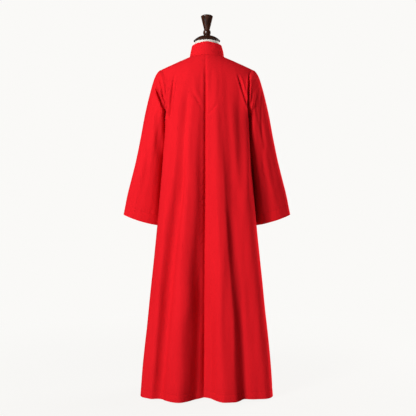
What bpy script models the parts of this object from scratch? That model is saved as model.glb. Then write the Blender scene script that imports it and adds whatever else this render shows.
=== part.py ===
"""A full-length cassock on a limbless dress form with a turned neck cap and a flat stand.

Metres, +Z up, the front towards -Y and the wearer's left towards +X. The origin is the
centre of the stand's foot, on the floor.
"""

import math

import bmesh
import bpy
import numpy as np
from mathutils import Matrix, Vector
from mathutils.bvhtree import BVHTree

# Cloth and seams
CLOTH = 0.0016  # wall of the woollen cloth
SEAM = 0.0003  # space between two pieces at a seam
GARMENT_Y = 0.030  # the garment's middle plane, behind the pole
BACK_SEAM_X = 0.005  # the centre back seam
LAP = 0.020  # how far each front reaches past the centre front
LAP_STEP = 0.0024  # how much deeper the under front lies beneath the lap
LAP_FROM, LAP_TO = 0.055, 0.022  # where the under front starts to sink, and where it is down

# Heights and reaches of the garment
HEM_Z = 0.006
UNDERARM_Z = 1.168
SHOULDER_X = 0.197  # top of the armhole
NECK_X = 0.074  # where the collar meets the shoulder seam
NECK_SHOULDER_Z = 1.4455
SHOULDER_SLOPE = 0.440
NECK_BACK, NECK_FRONT = 0.0540, 0.077  # reach of the neckline behind and in front
ARMHOLE_DEPTH = 0.064  # half the armhole's width, front to back
SEAM_PUCKER = 0.004  # the centre back seam draws the hem up by this
SEAM_PUCKER_WIDTH = 0.030

# The body of the garment at each height, with the squareness of its outline
BODY_COLUMNS = ("height", "half_width", "behind", "in_front", "square_behind", "square_in_front")
BODY = (
    (0.006, 0.2815, 0.125, 0.155, 5.0, 2.8),
    (0.138, 0.2725, 0.124, 0.152, 4.6, 2.8),
    (0.290, 0.2575, 0.122, 0.148, 4.2, 2.8),
    (0.440, 0.2425, 0.120, 0.144, 3.8, 2.7),
    (0.600, 0.2255, 0.117, 0.139, 3.4, 2.7),
    (0.745, 0.2115, 0.115, 0.133, 3.1, 2.6),
    (0.890, 0.1990, 0.113, 0.127, 2.9, 2.6),
    (1.040, 0.1870, 0.111, 0.121, 2.7, 2.6),
    (1.168, 0.1805, 0.110, 0.117, 2.6, 2.6),
    (1.268, 0.1980, 0.108, 0.115, 2.6, 2.6),
    (1.393, 0.2035, 0.108, 0.115, 2.6, 2.6),
    (1.490, 0.2035, 0.108, 0.115, 2.6, 2.6),
)
CLIMB_BEHIND, CLIMB_IN_FRONT = 2.6, 1.75  # how squarely each side turns over the shoulder

# Long soft folds, a row for each line of a ridge or a valley: where it runs (x) and how far
# it stands proud of the plain body (rise), both in millimetres at each of the five heights
FOLD_HEIGHTS = (0.006, 0.440, 0.745, 1.080, 1.310)
FOLD_COLUMNS = ("x_hem", "x_440", "x_745", "x_1080", "x_1310") + (
    "rise_hem", "rise_440", "rise_745", "rise_1080", "rise_1310"
)
BACK_FOLDS = (
    (216, 176, 142, 122, 112, -6, -6, -5, -4, -3),
    (114, 107, 96, 82, 76, 50, 28, 13, 5, 1),
    (36, 20, 17, 16, 15, -4, -10, -8, -5, -2),
    (5, 5, 5, 5, 5, -8, -12, -10, -6, -3),
    (-10, -8, -6, -5, -5, -5, -9, -7, -4, -1),
    (-72, -60, -50, -43, -38, 46, 24, 11, 5, 1),
    (-112, -100, -75, -63, -53, 44, 22, 9, 4, 0),
    (-160, -144, -116, -100, -84, -2, -6, -8, -6, -3),
    (-222, -190, -160, -140, -128, 0, -2, -2, 0, 0),
)
FRONT_FOLDS = (
    (215, 185, 160, 140, 125, -8, -6, -3, 0, 0),
    (162, 140, 120, 106, 96, 18, 12, 5, 0, 0),
    (105, 92, 82, 76, 72, -18, -11, -5, 0, 0),
    (48, 45, 42, 40, 38, 4, 2, 0, 0, 0),
    (-48, -45, -42, -40, -38, 4, 2, 0, 0, 0),
    (-98, -88, -80, -74, -70, -16, -10, -4, 0, 0),
    (-150, -133, -117, -105, -96, 19, 12, 5, 0, 0),
    (-212, -182, -158, -140, -125, -7, -6, -3, 0, 0),
)
FOLDS_END = 1.418  # the folds have died out at this height

# Grid of the panels
HEM_TO_UNDERARM_ROWS = 14
ARMHOLE_ROWS = 10
BACK_NECK_COLUMNS, BACK_SHOULDER_COLUMNS = 7, 9
FRONT_NECK_COLUMNS, FRONT_SHOULDER_COLUMNS = 8, 5

# Sleeve sections from the armhole down: the inner and outer points, half the depth, the
# middle's place front to back, how far the middle bows to the body, and the cuff's droop
SLEEVE_COLUMNS = ("x_in", "z_in", "x_out", "z_out", "half_depth", "y", "bow", "droop")
SLEEVE = (
    (0.1840, 1.1730, 0.2075, 1.3845, 0.0635, 0.000, -0.0070, 0.000),
    (0.1840, 1.1710, 0.2165, 1.3735, 0.0625, -0.002, -0.0050, 0.000),
    (0.1830, 1.1610, 0.2242, 1.3595, 0.0615, -0.006, -0.0030, 0.000),
    (0.1820, 1.1380, 0.2341, 1.3334, 0.0610, -0.012, -0.0010, 0.000),
    (0.1825, 1.1030, 0.2482, 1.2853, 0.0610, -0.019, 0.0000, 0.000),
    (0.1865, 1.0480, 0.2687, 1.2025, 0.0605, -0.028, 0.0000, 0.000),
    (0.1915, 0.9680, 0.2883, 1.1024, 0.0590, -0.037, 0.0000, 0.000),
    (0.1965, 0.8880, 0.3107, 0.9991, 0.0565, -0.046, 0.0000, 0.000),
    (0.2010, 0.8080, 0.3338, 0.9115, 0.0530, -0.055, 0.0000, 0.002),
    (0.2030, 0.7565, 0.3499, 0.8500, 0.0500, -0.061, 0.0000, 0.005),
    (0.2045, 0.7200, 0.3664, 0.7680, 0.0470, -0.065, 0.0000, 0.006),
)

# Collar
COLLAR_LIFT = 0.0012
COLLAR_TOP_X = 0.0637
COLLAR_TOP_BACK, COLLAR_TOP_FRONT = 0.0505, 0.074
COLLAR_HEIGHT_BACK, COLLAR_HEIGHT_FRONT = 0.055, 0.046
COLLAR_QUARTER_COLUMNS = 7

# Buttons
BUTTON_RADIUS = 0.008
BUTTON_THICKNESS = 0.0045
BUTTON_TOP_Z = 1.340
BUTTON_PITCH = 0.077
BUTTON_COUNT = 13
BUTTON_GAP = 0.00035

# Dress form
FORM_REST = 0.00035  # between the form's shoulders and the cloth that rests on them
FORM_SLACK = 0.008  # how much shallower the form is than the cloth
FORM_NARROWING = 0.60  # how much sharper the form's shoulder is than the cloth over it
FORM_ARM_X = 0.176
FORM_COLUMNS = ("height", "half_width", "behind", "in_front")
FORM = (
    (0.770, 0.150, 0.088, 0.090),
    (0.860, 0.150, 0.088, 0.088),
    (0.970, 0.140, 0.083, 0.083),
    (1.070, 0.154, 0.091, 0.096),
)
FORM_QUARTER_COLUMNS = 8
NECK_HALF_WIDTH, NECK_HALF_DEPTH, NECK_SHIFT = 0.0530, 0.0530, -0.008
NECK_FROM_Z, NECK_TOP_Z = 1.380, 1.5130
CAP_RADIUS, CAP_TOP_Z = 0.0575, 1.540
FINIAL_TOP_Z = 1.6305
POLE_RADIUS = 0.016
BASE_WIDTH, BASE_DEPTH, BASE_THICKNESS = 0.300, 0.170, 0.008
BASE_CORNER, BASE_EDGE = 0.035, 0.002
HUB_RADIUS, HUB_TOP_Z = 0.026, 0.040

RED = (0.56, 0.012, 0.020, 1.0)
RED_DARK = (0.50, 0.010, 0.017, 1.0)
CREAM = (0.80, 0.77, 0.70, 1.0)
WALNUT = (0.075, 0.026, 0.012, 1.0)
STEEL = (0.55, 0.55, 0.56, 1.0)
BLACK_PAINT = (0.03, 0.03, 0.032, 1.0)


def smooth_step(value):
    value = np.clip(value, 0.0, 1.0)
    return value * value * (3 - 2 * value)


def rows_at(table, heights):
    """Each column of a table, read smoothly at the given heights."""
    rows = np.array(table)
    knots, values = rows[:, 0], rows[:, 1:]
    slopes = np.gradient(values, knots, axis=0)
    heights = np.clip(heights, knots[0], knots[-1])
    low = np.clip(np.searchsorted(knots, heights, side="right") - 1, 0, len(knots) - 2)
    span = (knots[low + 1] - knots[low])[..., None]
    part = (heights - knots[low])[..., None] / span
    found = (
        (1 + 2 * part) * (1 - part) ** 2 * values[low]
        + part * (1 - part) ** 2 * span * slopes[low]
        + part**2 * (3 - 2 * part) * values[low + 1]
        + part**2 * (part - 1) * span * slopes[low + 1]
    )
    return np.moveaxis(found, -1, 0)


def ridge_height(x):
    """Height of the shoulder seam's line, rounded over at the middle."""
    return NECK_SHOULDER_Z + SHOULDER_SLOPE * (0.0728 - np.hypot(x, 0.020))


def turn_over(x, z, power):
    """What is left of the depth as the cloth climbs to the shoulder seam."""
    climb = np.clip((z - UNDERARM_Z) / (ridge_height(x) - UNDERARM_Z), 0.0, 1.0)
    return (1 - climb**power) ** (1 / power)


def body_depth(x, z, behind):
    """Distance of the plain body from the garment's middle plane."""
    half_width, back, front, square_back, square_front = rows_at(BODY, z)
    square = square_back if behind else square_front
    side = np.clip(1 - (np.abs(x) / half_width) ** square, 0.0, 1.0) ** (1 / square)
    power = CLIMB_BEHIND if behind else CLIMB_IN_FRONT
    return (back if behind else front) * side * turn_over(x, z, power)


def fold_depth(x, z, behind):
    """What the long folds add to the body's depth."""
    x, z = np.broadcast_arrays(np.asarray(x, float), np.asarray(z, float))
    lines = np.array(BACK_FOLDS if behind else FRONT_FOLDS) / 1000
    places = rows_at(np.column_stack([FOLD_HEIGHTS, lines[:, :5].T]), z)
    rises = rows_at(np.column_stack([FOLD_HEIGHTS, lines[:, 5:].T]), z)
    edge = rows_at(BODY, z)[0]
    places = np.concatenate([edge[None], places, -edge[None]])
    rises = np.concatenate([0 * edge[None], rises, 0 * edge[None]])
    total = np.zeros(x.shape)
    for left, right, from_rise, to_rise in zip(places, places[1:], rises, rises[1:]):
        inside = (x <= left) & (x > right)
        share = smooth_step((left - x) / (left - right))
        total = np.where(inside, from_rise + (to_rise - from_rise) * share, total)
    fade = smooth_step((FOLDS_END - z) / (FOLDS_END - FOLD_HEIGHTS[-1]))
    return total * fade


def cloth_depth(x, z, behind, under_lap=False):
    depth = body_depth(x, z, behind) + fold_depth(x, z, behind)
    if under_lap:
        depth = depth - LAP_STEP * smooth_step((x + LAP_FROM) / (LAP_FROM - LAP_TO))
    return depth


def halved(low, high, is_low):
    """The place between two limits where a test turns, found by halving."""
    low, high = np.array(low, float), np.array(high, float)
    for _ in range(50):
        middle = (low + high) / 2
        keep = is_low(middle)
        low, high = np.where(keep, middle, low), np.where(keep, high, middle)
    return (low + high) / 2


def top_height(x, behind):
    """Height of a panel's top edge: the neckline, then the shoulder seam."""
    reach = NECK_BACK if behind else NECK_FRONT
    across = np.clip(np.abs(x) / NECK_X, 0.0, 1.0)
    plan = reach * np.sqrt(1 - across**2)
    ridge = ridge_height(x)
    neckline = halved(
        np.full_like(ridge, UNDERARM_Z), ridge, lambda z: body_depth(x, z, behind) > plan
    )
    return np.where(across < 1, neckline, ridge)


def armhole(rise, behind):
    """Where the armhole's edge is, from the underarm (rise 0) to the shoulder (rise 1)."""
    shoulder_z = ridge_height(np.array(SHOULDER_X))
    z = UNDERARM_Z + (shoulder_z - UNDERARM_Z) * (1 - math.cos(math.pi * rise)) / 2
    y = ARMHOLE_DEPTH * math.sin(math.pi * rise)
    half_width = rows_at(BODY, z)[0]
    limit = SHOULDER_X if rise == 1 else half_width
    if rise in (0, 1):
        return float(limit), float(z)
    x = halved(0.1, half_width, lambda x: body_depth(x, z, behind) > y)
    return float(x), float(z)


def evenly_spaced(points, count):
    """Shares along a line of points that are equally far apart."""
    steps = np.linalg.norm(np.diff(points, axis=0), axis=1)
    along = np.concatenate([[0.0], np.cumsum(steps)])
    return along / along[-1], np.linspace(0, 1, count + 1)


def panel_grid(behind, side, first_x, neck_columns, shoulder_columns):
    """Places (x, z) on a panel: rows from the hem up, columns from the centre to the side."""
    columns = neck_columns + shoulder_columns
    first_angle = math.asin(side * first_x / NECK_X)
    if first_angle > 0:
        angles = np.linspace(first_angle, math.pi / 2, neck_columns + 1)
    else:
        angles = np.concatenate([[first_angle], np.linspace(0, math.pi / 2, neck_columns)])
    neck_x = NECK_X * np.sin(angles)
    shoulder_x = np.linspace(NECK_X, SHOULDER_X, shoulder_columns + 1)[1:]
    top_x = side * np.concatenate([neck_x, shoulder_x])
    top_share = (top_x - top_x[0]) / (top_x[-1] - top_x[0])
    fine = 1 - (1 - np.linspace(0, 1, 500)) ** 3
    levels = [
        (HEM_Z + (UNDERARM_Z - HEM_Z) * i / HEM_TO_UNDERARM_ROWS, 0.0)
        for i in range(HEM_TO_UNDERARM_ROWS)
    ] + [(UNDERARM_Z, i / ARMHOLE_ROWS) for i in range(ARMHOLE_ROWS + 1)]
    grid_x, grid_z = [], []
    for level, rise in levels:
        end_x, end_z = armhole(rise, behind)
        if level < UNDERARM_Z:
            end_x, end_z = float(rows_at(BODY, np.array(level))[0]), level

        def heights(x, share):
            if rise == 0:
                return np.full_like(x, level)
            near_arm = share**3 * (1 - rise**4)
            climb = (1 - near_arm) * math.sin(math.pi * rise / 2)
            climb = climb + near_arm * (1 - math.cos(math.pi * rise)) / 2
            shoulder_z = float(ridge_height(SHOULDER_X))
            top = (1 - near_arm) * top_height(x, behind) + near_arm * shoulder_z
            return UNDERARM_Z + (top - UNDERARM_Z) * (climb if rise < 1 else 1.0)

        x = first_x + (side * end_x - first_x) * fine
        z = heights(x, fine)
        line = np.stack([x, body_depth(x, z, behind), z], axis=1)
        along, wanted = evenly_spaced(line, columns)
        even_share = np.interp(wanted, along, fine)
        share = (1 - rise**2) * even_share + rise**2 * top_share
        share[0], share[-1] = 0.0, 1.0
        x = first_x + (side * end_x - first_x) * share
        z = heights(x, share)
        z[-1] = end_z
        grid_x.append(x)
        grid_z.append(z)
    return np.array(grid_x), np.array(grid_z)


def panel_faces(x, z, behind, under_lap=False):
    """Outer points of a panel and their outward directions."""
    depth = np.maximum(cloth_depth(x, z, behind, under_lap), SEAM / 2)
    nudge, step = 2e-5, 1e-5
    inward = np.sign(x + 1e-9)
    near_x = x - nudge * inward
    near_z = np.where(z > UNDERARM_Z, z - nudge, z)
    here = cloth_depth(near_x, near_z, behind, under_lap)
    slope_x = (here - cloth_depth(near_x - step * inward, near_z, behind, under_lap)) / (step * inward)
    slope_z = (here - cloth_depth(near_x, near_z - step, behind, under_lap)) / step
    facing = 1.0 if behind else -1.0
    normal = np.stack([-slope_x, np.full_like(x, facing), -slope_z], axis=-1)
    on_seam = depth <= SEAM / 2 + 1e-9
    normal[on_seam, 1] = 0.0
    normal /= np.linalg.norm(normal, axis=-1, keepdims=True)
    pull = np.exp(-(((x - BACK_SEAM_X) / SEAM_PUCKER_WIDTH) ** 2)) * np.exp(-(z - HEM_Z) / 0.06)
    lift = SEAM_PUCKER * pull if behind else 0.0
    points = np.stack([x, GARMENT_Y + facing * depth, z + lift], axis=-1)
    return points, normal


def material(name, colour, roughness, metallic=0.0):
    made = bpy.data.materials.new(name)
    made.use_nodes = True
    shader = made.node_tree.nodes["Principled BSDF"]
    shader.inputs["Base Color"].default_value = colour
    shader.inputs["Roughness"].default_value = roughness
    shader.inputs["Metallic"].default_value = metallic
    made.diffuse_color = colour
    return made


def new_object(name, mesh, finish):
    obj = bpy.data.objects.new(name, mesh)
    mesh.materials.append(finish)
    parts.objects.link(obj)
    return obj


def cloth_wall(name, outer, normals, finish, closed=False):
    """A wall of cloth lofted through rows of outer points; closed joins the last column to the first."""
    rows, columns = outer.shape[:2]
    inner = outer - CLOTH * normals
    bm = bmesh.new()
    out = [[bm.verts.new(point) for point in row] for row in outer]
    back = [[bm.verts.new(point) for point in row] for row in inner]
    last = columns if closed else columns - 1
    for j in range(last):
        k = (j + 1) % columns
        for i in range(rows - 1):
            bm.faces.new((out[i][j], out[i][k], out[i + 1][k], out[i + 1][j]))
            bm.faces.new((back[i][j], back[i + 1][j], back[i + 1][k], back[i][k]))
        bm.faces.new((out[0][k], out[0][j], back[0][j], back[0][k]))
        bm.faces.new((out[-1][j], out[-1][k], back[-1][k], back[-1][j]))
    if not closed:
        for i in range(rows - 1):
            bm.faces.new((out[i][0], out[i + 1][0], back[i + 1][0], back[i][0]))
            bm.faces.new((out[i + 1][-1], out[i][-1], back[i][-1], back[i + 1][-1]))
    bmesh.ops.recalc_face_normals(bm, faces=bm.faces)
    mesh = bpy.data.meshes.new(name)
    bm.to_mesh(mesh)
    bm.free()
    mesh.shade_smooth()
    mesh.set_sharp_from_angle(angle=math.radians(50))
    return new_object(name, mesh, finish)


def turned(name, profile, finish, segments):
    """A solid turned about its own Z axis from a profile of (radius, height), top to bottom."""
    mesh = bpy.data.meshes.new(name)
    points = [(radius, 0.0, height) for radius, height in profile]
    mesh.from_pydata(points, [(i, i + 1) for i in range(len(points) - 1)], [])
    obj = new_object(name, mesh, finish)
    screw = obj.modifiers.new("Turn", "SCREW")
    screw.axis = "Z"
    screw.steps = segments
    screw.render_steps = segments
    screw.use_merge_vertices = True
    screw.merge_threshold = 0.00005
    screw.use_smooth_shade = True
    return obj


# Clear the scene
for old in list(bpy.data.objects):
    bpy.data.objects.remove(old, do_unlink=True)
parts = bpy.data.collections.new("cassock_on_dress_form")
bpy.context.scene.collection.children.link(parts)

wool = material("red_wool", RED, 0.75)
sleeve_wool = material("red_wool_sleeve", RED, 0.75)
collar_wool = material("red_wool_collar", RED_DARK, 0.75)
button_cloth = material("red_covered_button", RED_DARK, 0.7)
jersey = material("cream_jersey", CREAM, 0.85)
walnut = material("dark_walnut", WALNUT, 0.28)
steel = material("brushed_steel", STEEL, 0.35, 1.0)
iron = material("black_painted_iron", BLACK_PAINT, 0.45)

# Fronts and backs
PANELS = (
    ("back_left", True, 1, BACK_SEAM_X + SEAM / 2, False),
    ("back_right", True, -1, BACK_SEAM_X - SEAM / 2, False),
    ("front_left", False, 1, -LAP, False),
    ("front_right", False, -1, LAP, True),
)
edges = {}
for name, behind, side, first_x, under_lap in PANELS:
    if behind:
        columns = (BACK_NECK_COLUMNS, BACK_SHOULDER_COLUMNS)
    else:
        columns = (FRONT_NECK_COLUMNS, FRONT_SHOULDER_COLUMNS)
    x, z = panel_grid(behind, side, first_x, *columns)
    points, normals = panel_faces(x, z, behind, under_lap)
    panel = cloth_wall(name, points, normals, wool)
    edges[name] = points[HEM_TO_UNDERARM_ROWS:, -1], normals[HEM_TO_UNDERARM_ROWS:, -1]


def sleeve_rows(side, back_edge, front_edge):
    """Rings of the sleeve's outer points from the armhole to the cuff, and their directions."""
    hole = np.concatenate([back_edge[0], front_edge[0][-2:0:-1]])
    hole_out = np.concatenate([back_edge[1], front_edge[1][-2:0:-1]])
    count = len(hole)
    turn = math.pi - 2 * math.pi * np.arange(count) / count
    hole[0, 1] = hole[ARMHOLE_ROWS, 1] = GARMENT_Y
    centre = hole.mean(axis=0)
    outward = hole - centre
    outward -= hole_out * (outward * hole_out).sum(axis=1, keepdims=True)
    outward /= np.linalg.norm(outward, axis=1, keepdims=True)
    rings = [hole - SEAM * outward]
    for x_in, z_in, x_out, z_out, half_depth, y, bow, droop in SLEEVE:
        middle = np.array([(x_in + x_out) / 2, y, (z_in + z_out) / 2])
        reach = np.array([(x_out - x_in) / 2, 0.0, (z_out - z_in) / 2])
        bowed = np.abs(np.sin(turn)) ** 2
        ring = middle + np.cos(turn)[:, None] * reach
        ring[:, 0] += bow * bowed
        ring[:, 1] += half_depth * np.sin(turn) + GARMENT_Y
        ring[:, 2] -= droop * bowed
        rings.append(ring * (side, 1, 1))
    rings = np.array(rings)
    along = np.gradient(rings, axis=0)
    around = np.roll(rings, -1, axis=1) - np.roll(rings, 1, axis=1)
    directions = side * np.cross(around, along)
    directions /= np.linalg.norm(directions, axis=2, keepdims=True)
    directions[0] = hole_out
    return rings, directions


# Sleeves
for name, side, back, front in (
    ("sleeve_left", 1, "back_left", "front_left"),
    ("sleeve_right", -1, "back_right", "front_right"),
):
    rings, directions = sleeve_rows(side, edges[back], edges[front])
    cloth_wall(name, rings, directions, sleeve_wool, closed=True)

# Collar: one band from the centre front round the neck and back to the centre front
quarter = np.linspace(0, math.pi / 2, COLLAR_QUARTER_COLUMNS + 1)
from_front = np.concatenate([quarter, math.pi - quarter[-2::-1]])
end_angle = math.asin(0.0005 / NECK_X)
from_front[0] = end_angle
angles = np.concatenate([-from_front, from_front[-2::-1]])
x = NECK_X * np.sin(angles)
towards_back = -np.cos(angles)
in_front = towards_back < 0
base_z = np.where(in_front, top_height(x, False), top_height(x, True))
base_y = np.where(in_front, NECK_FRONT, NECK_BACK) * towards_back
top_y = np.where(in_front, COLLAR_TOP_FRONT, COLLAR_TOP_BACK) * towards_back
mix = (1 + towards_back) / 2
height = COLLAR_HEIGHT_FRONT + (COLLAR_HEIGHT_BACK - COLLAR_HEIGHT_FRONT) * mix**2
base = np.stack([x, GARMENT_Y + base_y, base_z + COLLAR_LIFT], axis=1)
top = np.stack([COLLAR_TOP_X / NECK_X * x, GARMENT_Y + top_y, base_z + height], axis=1)
rows = np.array([base + (top - base) * share for share in (0.0, 0.33, 0.67, 1.0)])
around = np.gradient(rows, axis=1)
directions = np.cross(around, top - base)
directions[0] = np.cross(around[0], (0.0, 0.0, 1.0))
directions /= np.linalg.norm(directions, axis=2, keepdims=True)
outside = (directions[0, COLLAR_QUARTER_COLUMNS] * (base[COLLAR_QUARTER_COLUMNS] * (1, 0, 0))).sum()
cloth_wall("collar", rows, directions * np.sign(outside), collar_wool)

# Buttons on the left front, each square to the cloth beneath it
left_front = bpy.data.objects["front_left"]
cloth_tree = BVHTree.FromPolygons(
    [vertex.co for vertex in left_front.data.vertices],
    [tuple(polygon.vertices) for polygon in left_front.data.polygons],
)
BUTTON_PROFILE = (
    (0.00, 1.00),
    (0.52, 0.90),
    (0.88, 0.56),
    (1.00, 0.24),
    (0.90, 0.00),
    (0.00, 0.00),
)
button_profile = [(r * BUTTON_RADIUS, h * BUTTON_THICKNESS) for r, h in BUTTON_PROFILE]
for i in range(BUTTON_COUNT):
    height = BUTTON_TOP_Z - i * BUTTON_PITCH
    spot, facing, _, _ = cloth_tree.ray_cast(Vector((0, -1, height)), Vector((0, 1, 0)))
    button = turned(f"button_{i + 1:02d}", button_profile, button_cloth, 12)
    button.location = spot + facing * BUTTON_GAP
    button.rotation_euler = facing.to_track_quat("Z", "Y").to_euler()

# Dress form: a padded trunk without limbs, lofted through rings up to the shoulder line
ridge_drop = (CLOTH + FORM_REST) * math.hypot(1, SHOULDER_SLOPE)


def form_ring(level, rise):
    """One ring round the trunk, from the centre back by the wearer's left."""
    shares = np.sin(np.linspace(0, math.pi / 2, FORM_QUARTER_COLUMNS + 1)) ** 0.8
    quarters = []
    for behind in (True, False):
        if level < UNDERARM_Z:
            half_width, back, front = rows_at(FORM + (FORM_AT_ARM,), np.array(level))
            x = half_width * shares
            z = np.full_like(x, level)
            depth = (back if behind else front) * (1 - shares**2.4) ** (1 / 2.4)
        else:
            x = FORM_ARM_X * shares
            climb = math.sin(math.pi * rise / 2)
            z = UNDERARM_Z + (ridge_height(x) - ridge_drop - UNDERARM_Z) * climb
            back, front = rows_at(BODY, z)[1:3]
            power = CLIMB_BEHIND if behind else CLIMB_IN_FRONT
            over = (1 - climb**power) ** (1 / power) * (1 - FORM_NARROWING * rise**2)
            depth = ((back if behind else front) - FORM_SLACK) * (1 - shares**2.4) ** (1 / 2.4) * over
        quarters.append(np.stack([x, GARMENT_Y + (depth if behind else -depth), z], axis=1))
    half = np.concatenate([quarters[0], quarters[1][-2::-1]])
    other = half[-2:0:-1] * (-1, 1, 1)
    return np.concatenate([half, other])


at_arm = rows_at(BODY, np.array(UNDERARM_Z))
FORM_AT_ARM = (UNDERARM_Z, FORM_ARM_X, float(at_arm[1]) - FORM_SLACK, float(at_arm[2]) - FORM_SLACK)
rings = [form_ring(level, 0.0) for level in np.linspace(FORM[0][0], UNDERARM_Z, 6)[:-1]]
rings += [form_ring(UNDERARM_Z, i / ARMHOLE_ROWS) for i in range(ARMHOLE_ROWS + 1)]
bm = bmesh.new()
loops = [[bm.verts.new(point) for point in ring] for ring in rings]
for low, high in zip(loops, loops[1:]):
    for j in range(len(low)):
        k = (j + 1) % len(low)
        bm.faces.new((low[j], low[k], high[k], high[j]))
bm.faces.new(loops[0])
bmesh.ops.remove_doubles(bm, verts=bm.verts, dist=0.00005)
bmesh.ops.recalc_face_normals(bm, faces=bm.faces)
trunk_mesh = bpy.data.meshes.new("form_torso")
bm.to_mesh(trunk_mesh)
bm.free()
trunk_mesh.shade_smooth()
trunk_mesh.set_sharp_from_angle(angle=math.radians(50))
trunk = new_object("form_torso", trunk_mesh, jersey)

helpers = bpy.data.collections.new("helpers")
bpy.context.scene.collection.children.link(helpers)
bpy.ops.mesh.primitive_cylinder_add(
    vertices=32,
    radius=1.0,
    depth=NECK_TOP_Z - NECK_FROM_Z,
    location=(0, GARMENT_Y + NECK_SHIFT, (NECK_TOP_Z + NECK_FROM_Z) / 2),
)
neck = bpy.context.active_object
neck.name = "neck_stock"
neck.scale = (NECK_HALF_WIDTH, NECK_HALF_DEPTH, 1.0)
for collection in list(neck.users_collection):
    collection.objects.unlink(neck)
helpers.objects.link(neck)
neck.hide_render = True
neck.display_type = "WIRE"
join = trunk.modifiers.new("Neck", "BOOLEAN")
join.operation = "UNION"
join.object = neck

# Neck cap and finial, turned in wood
neck_y = GARMENT_Y + NECK_SHIFT
cap_foot = NECK_TOP_Z + SEAM
cap = turned(
    "neck_cap",
    [
        (0.0, CAP_TOP_Z),
        (0.013, CAP_TOP_Z),
        (0.026, CAP_TOP_Z - 0.0025),
        (0.040, CAP_TOP_Z - 0.0085),
        (0.050, CAP_TOP_Z - 0.0155),
        (0.0550, CAP_TOP_Z - 0.0205),
        (CAP_RADIUS, CAP_TOP_Z - 0.0230),
        (0.0545, cap_foot + 0.0006),
        (0.0530, cap_foot),
        (0.0, cap_foot),
    ],
    walnut,
    32,
)
cap.location = (0, neck_y, 0)
finial_foot = CAP_TOP_Z + SEAM
finial = turned(
    "finial",
    [
        (0.0, FINIAL_TOP_Z),
        (0.0120, FINIAL_TOP_Z - 0.0008),
        (0.0205, FINIAL_TOP_Z - 0.0030),
        (0.0250, FINIAL_TOP_Z - 0.0060),
        (0.0258, FINIAL_TOP_Z - 0.0085),
        (0.0246, FINIAL_TOP_Z - 0.0120),
        (0.0185, FINIAL_TOP_Z - 0.0380),
        (0.0132, FINIAL_TOP_Z - 0.0600),
        (0.0114, FINIAL_TOP_Z - 0.0658),
        (0.0138, FINIAL_TOP_Z - 0.0675),
        (0.0160, FINIAL_TOP_Z - 0.0720),
        (0.0165, FINIAL_TOP_Z - 0.0775),
        (0.0154, FINIAL_TOP_Z - 0.0830),
        (0.0128, FINIAL_TOP_Z - 0.0875),
        (0.0100, finial_foot),
        (0.0, finial_foot),
    ],
    walnut,
    24,
)
finial.location = (0, neck_y, 0)

# Pole and base
pole_foot = HUB_TOP_Z + SEAM
pole_top = FORM[0][0] - SEAM
bpy.ops.mesh.primitive_cylinder_add(
    vertices=24,
    radius=POLE_RADIUS,
    depth=pole_top - pole_foot,
    location=(0, 0, (pole_top + pole_foot) / 2),
)
pole = bpy.context.active_object
pole.name = "pole"
pole.data.materials.append(steel)
pole.data.shade_smooth()
pole.data.set_sharp_from_angle(angle=math.radians(50))
for collection in list(pole.users_collection):
    collection.objects.unlink(pole)
parts.objects.link(pole)
bpy.ops.mesh.primitive_cube_add(size=1.0, location=(0, 0, BASE_THICKNESS / 2))
base = bpy.context.active_object
base.name = "stand_base"
base.data.transform(Matrix.Diagonal((BASE_WIDTH, BASE_DEPTH, BASE_THICKNESS, 1.0)))
base.data.materials.append(iron)
bm = bmesh.new()
bm.from_mesh(base.data)
upright = [edge for edge in bm.edges if abs(edge.verts[0].co.z - edge.verts[1].co.z) > 0.001]
bmesh.ops.bevel(bm, geom=upright, offset=BASE_CORNER, segments=6, affect="EDGES", profile=0.5)
rim = [edge for edge in bm.edges if min(vertex.co.z for vertex in edge.verts) > 0.001]
bmesh.ops.bevel(bm, geom=rim, offset=BASE_EDGE, segments=2, affect="EDGES", profile=0.5)
bm.to_mesh(base.data)
bm.free()
for collection in list(base.users_collection):
    collection.objects.unlink(base)
parts.objects.link(base)
hub_foot = BASE_THICKNESS / 2
bpy.ops.mesh.primitive_cone_add(
    vertices=32,
    radius1=HUB_RADIUS + 0.003,
    radius2=HUB_RADIUS,
    depth=HUB_TOP_Z - hub_foot,
    location=(0, 0, (HUB_TOP_Z + hub_foot) / 2),
)
hub = bpy.context.active_object
hub.name = "hub_stock"
for collection in list(hub.users_collection):
    collection.objects.unlink(hub)
helpers.objects.link(hub)
hub.hide_render = True
hub.display_type = "WIRE"
weld = base.modifiers.new("Hub", "BOOLEAN")
weld.operation = "UNION"
weld.object = hub
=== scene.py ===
import math

import bmesh
import bpy
import numpy as np
from mathutils import Matrix, Vector


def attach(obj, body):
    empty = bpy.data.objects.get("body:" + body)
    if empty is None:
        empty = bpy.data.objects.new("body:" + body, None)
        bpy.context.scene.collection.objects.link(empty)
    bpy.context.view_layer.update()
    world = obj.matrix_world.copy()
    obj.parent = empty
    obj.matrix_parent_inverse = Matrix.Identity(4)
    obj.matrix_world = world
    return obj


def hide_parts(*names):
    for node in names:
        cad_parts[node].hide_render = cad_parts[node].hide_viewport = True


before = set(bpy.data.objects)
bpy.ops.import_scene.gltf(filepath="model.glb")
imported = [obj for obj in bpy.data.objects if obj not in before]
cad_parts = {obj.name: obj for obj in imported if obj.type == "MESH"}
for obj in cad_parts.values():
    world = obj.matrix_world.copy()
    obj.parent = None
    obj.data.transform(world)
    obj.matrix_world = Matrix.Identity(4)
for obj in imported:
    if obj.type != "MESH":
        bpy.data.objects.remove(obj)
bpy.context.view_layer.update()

# The studio
# A pale floor that runs out of sight into an equally pale surround. A large soft light is
# high behind the wearer's left, with a fill in front on the right and a weak light in front
# on the left. The camera stands behind the wearer at waist height, level.
PALE = (0.956, 0.948, 0.930, 1.0)
FLOOR_REACH = 40.0
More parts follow.
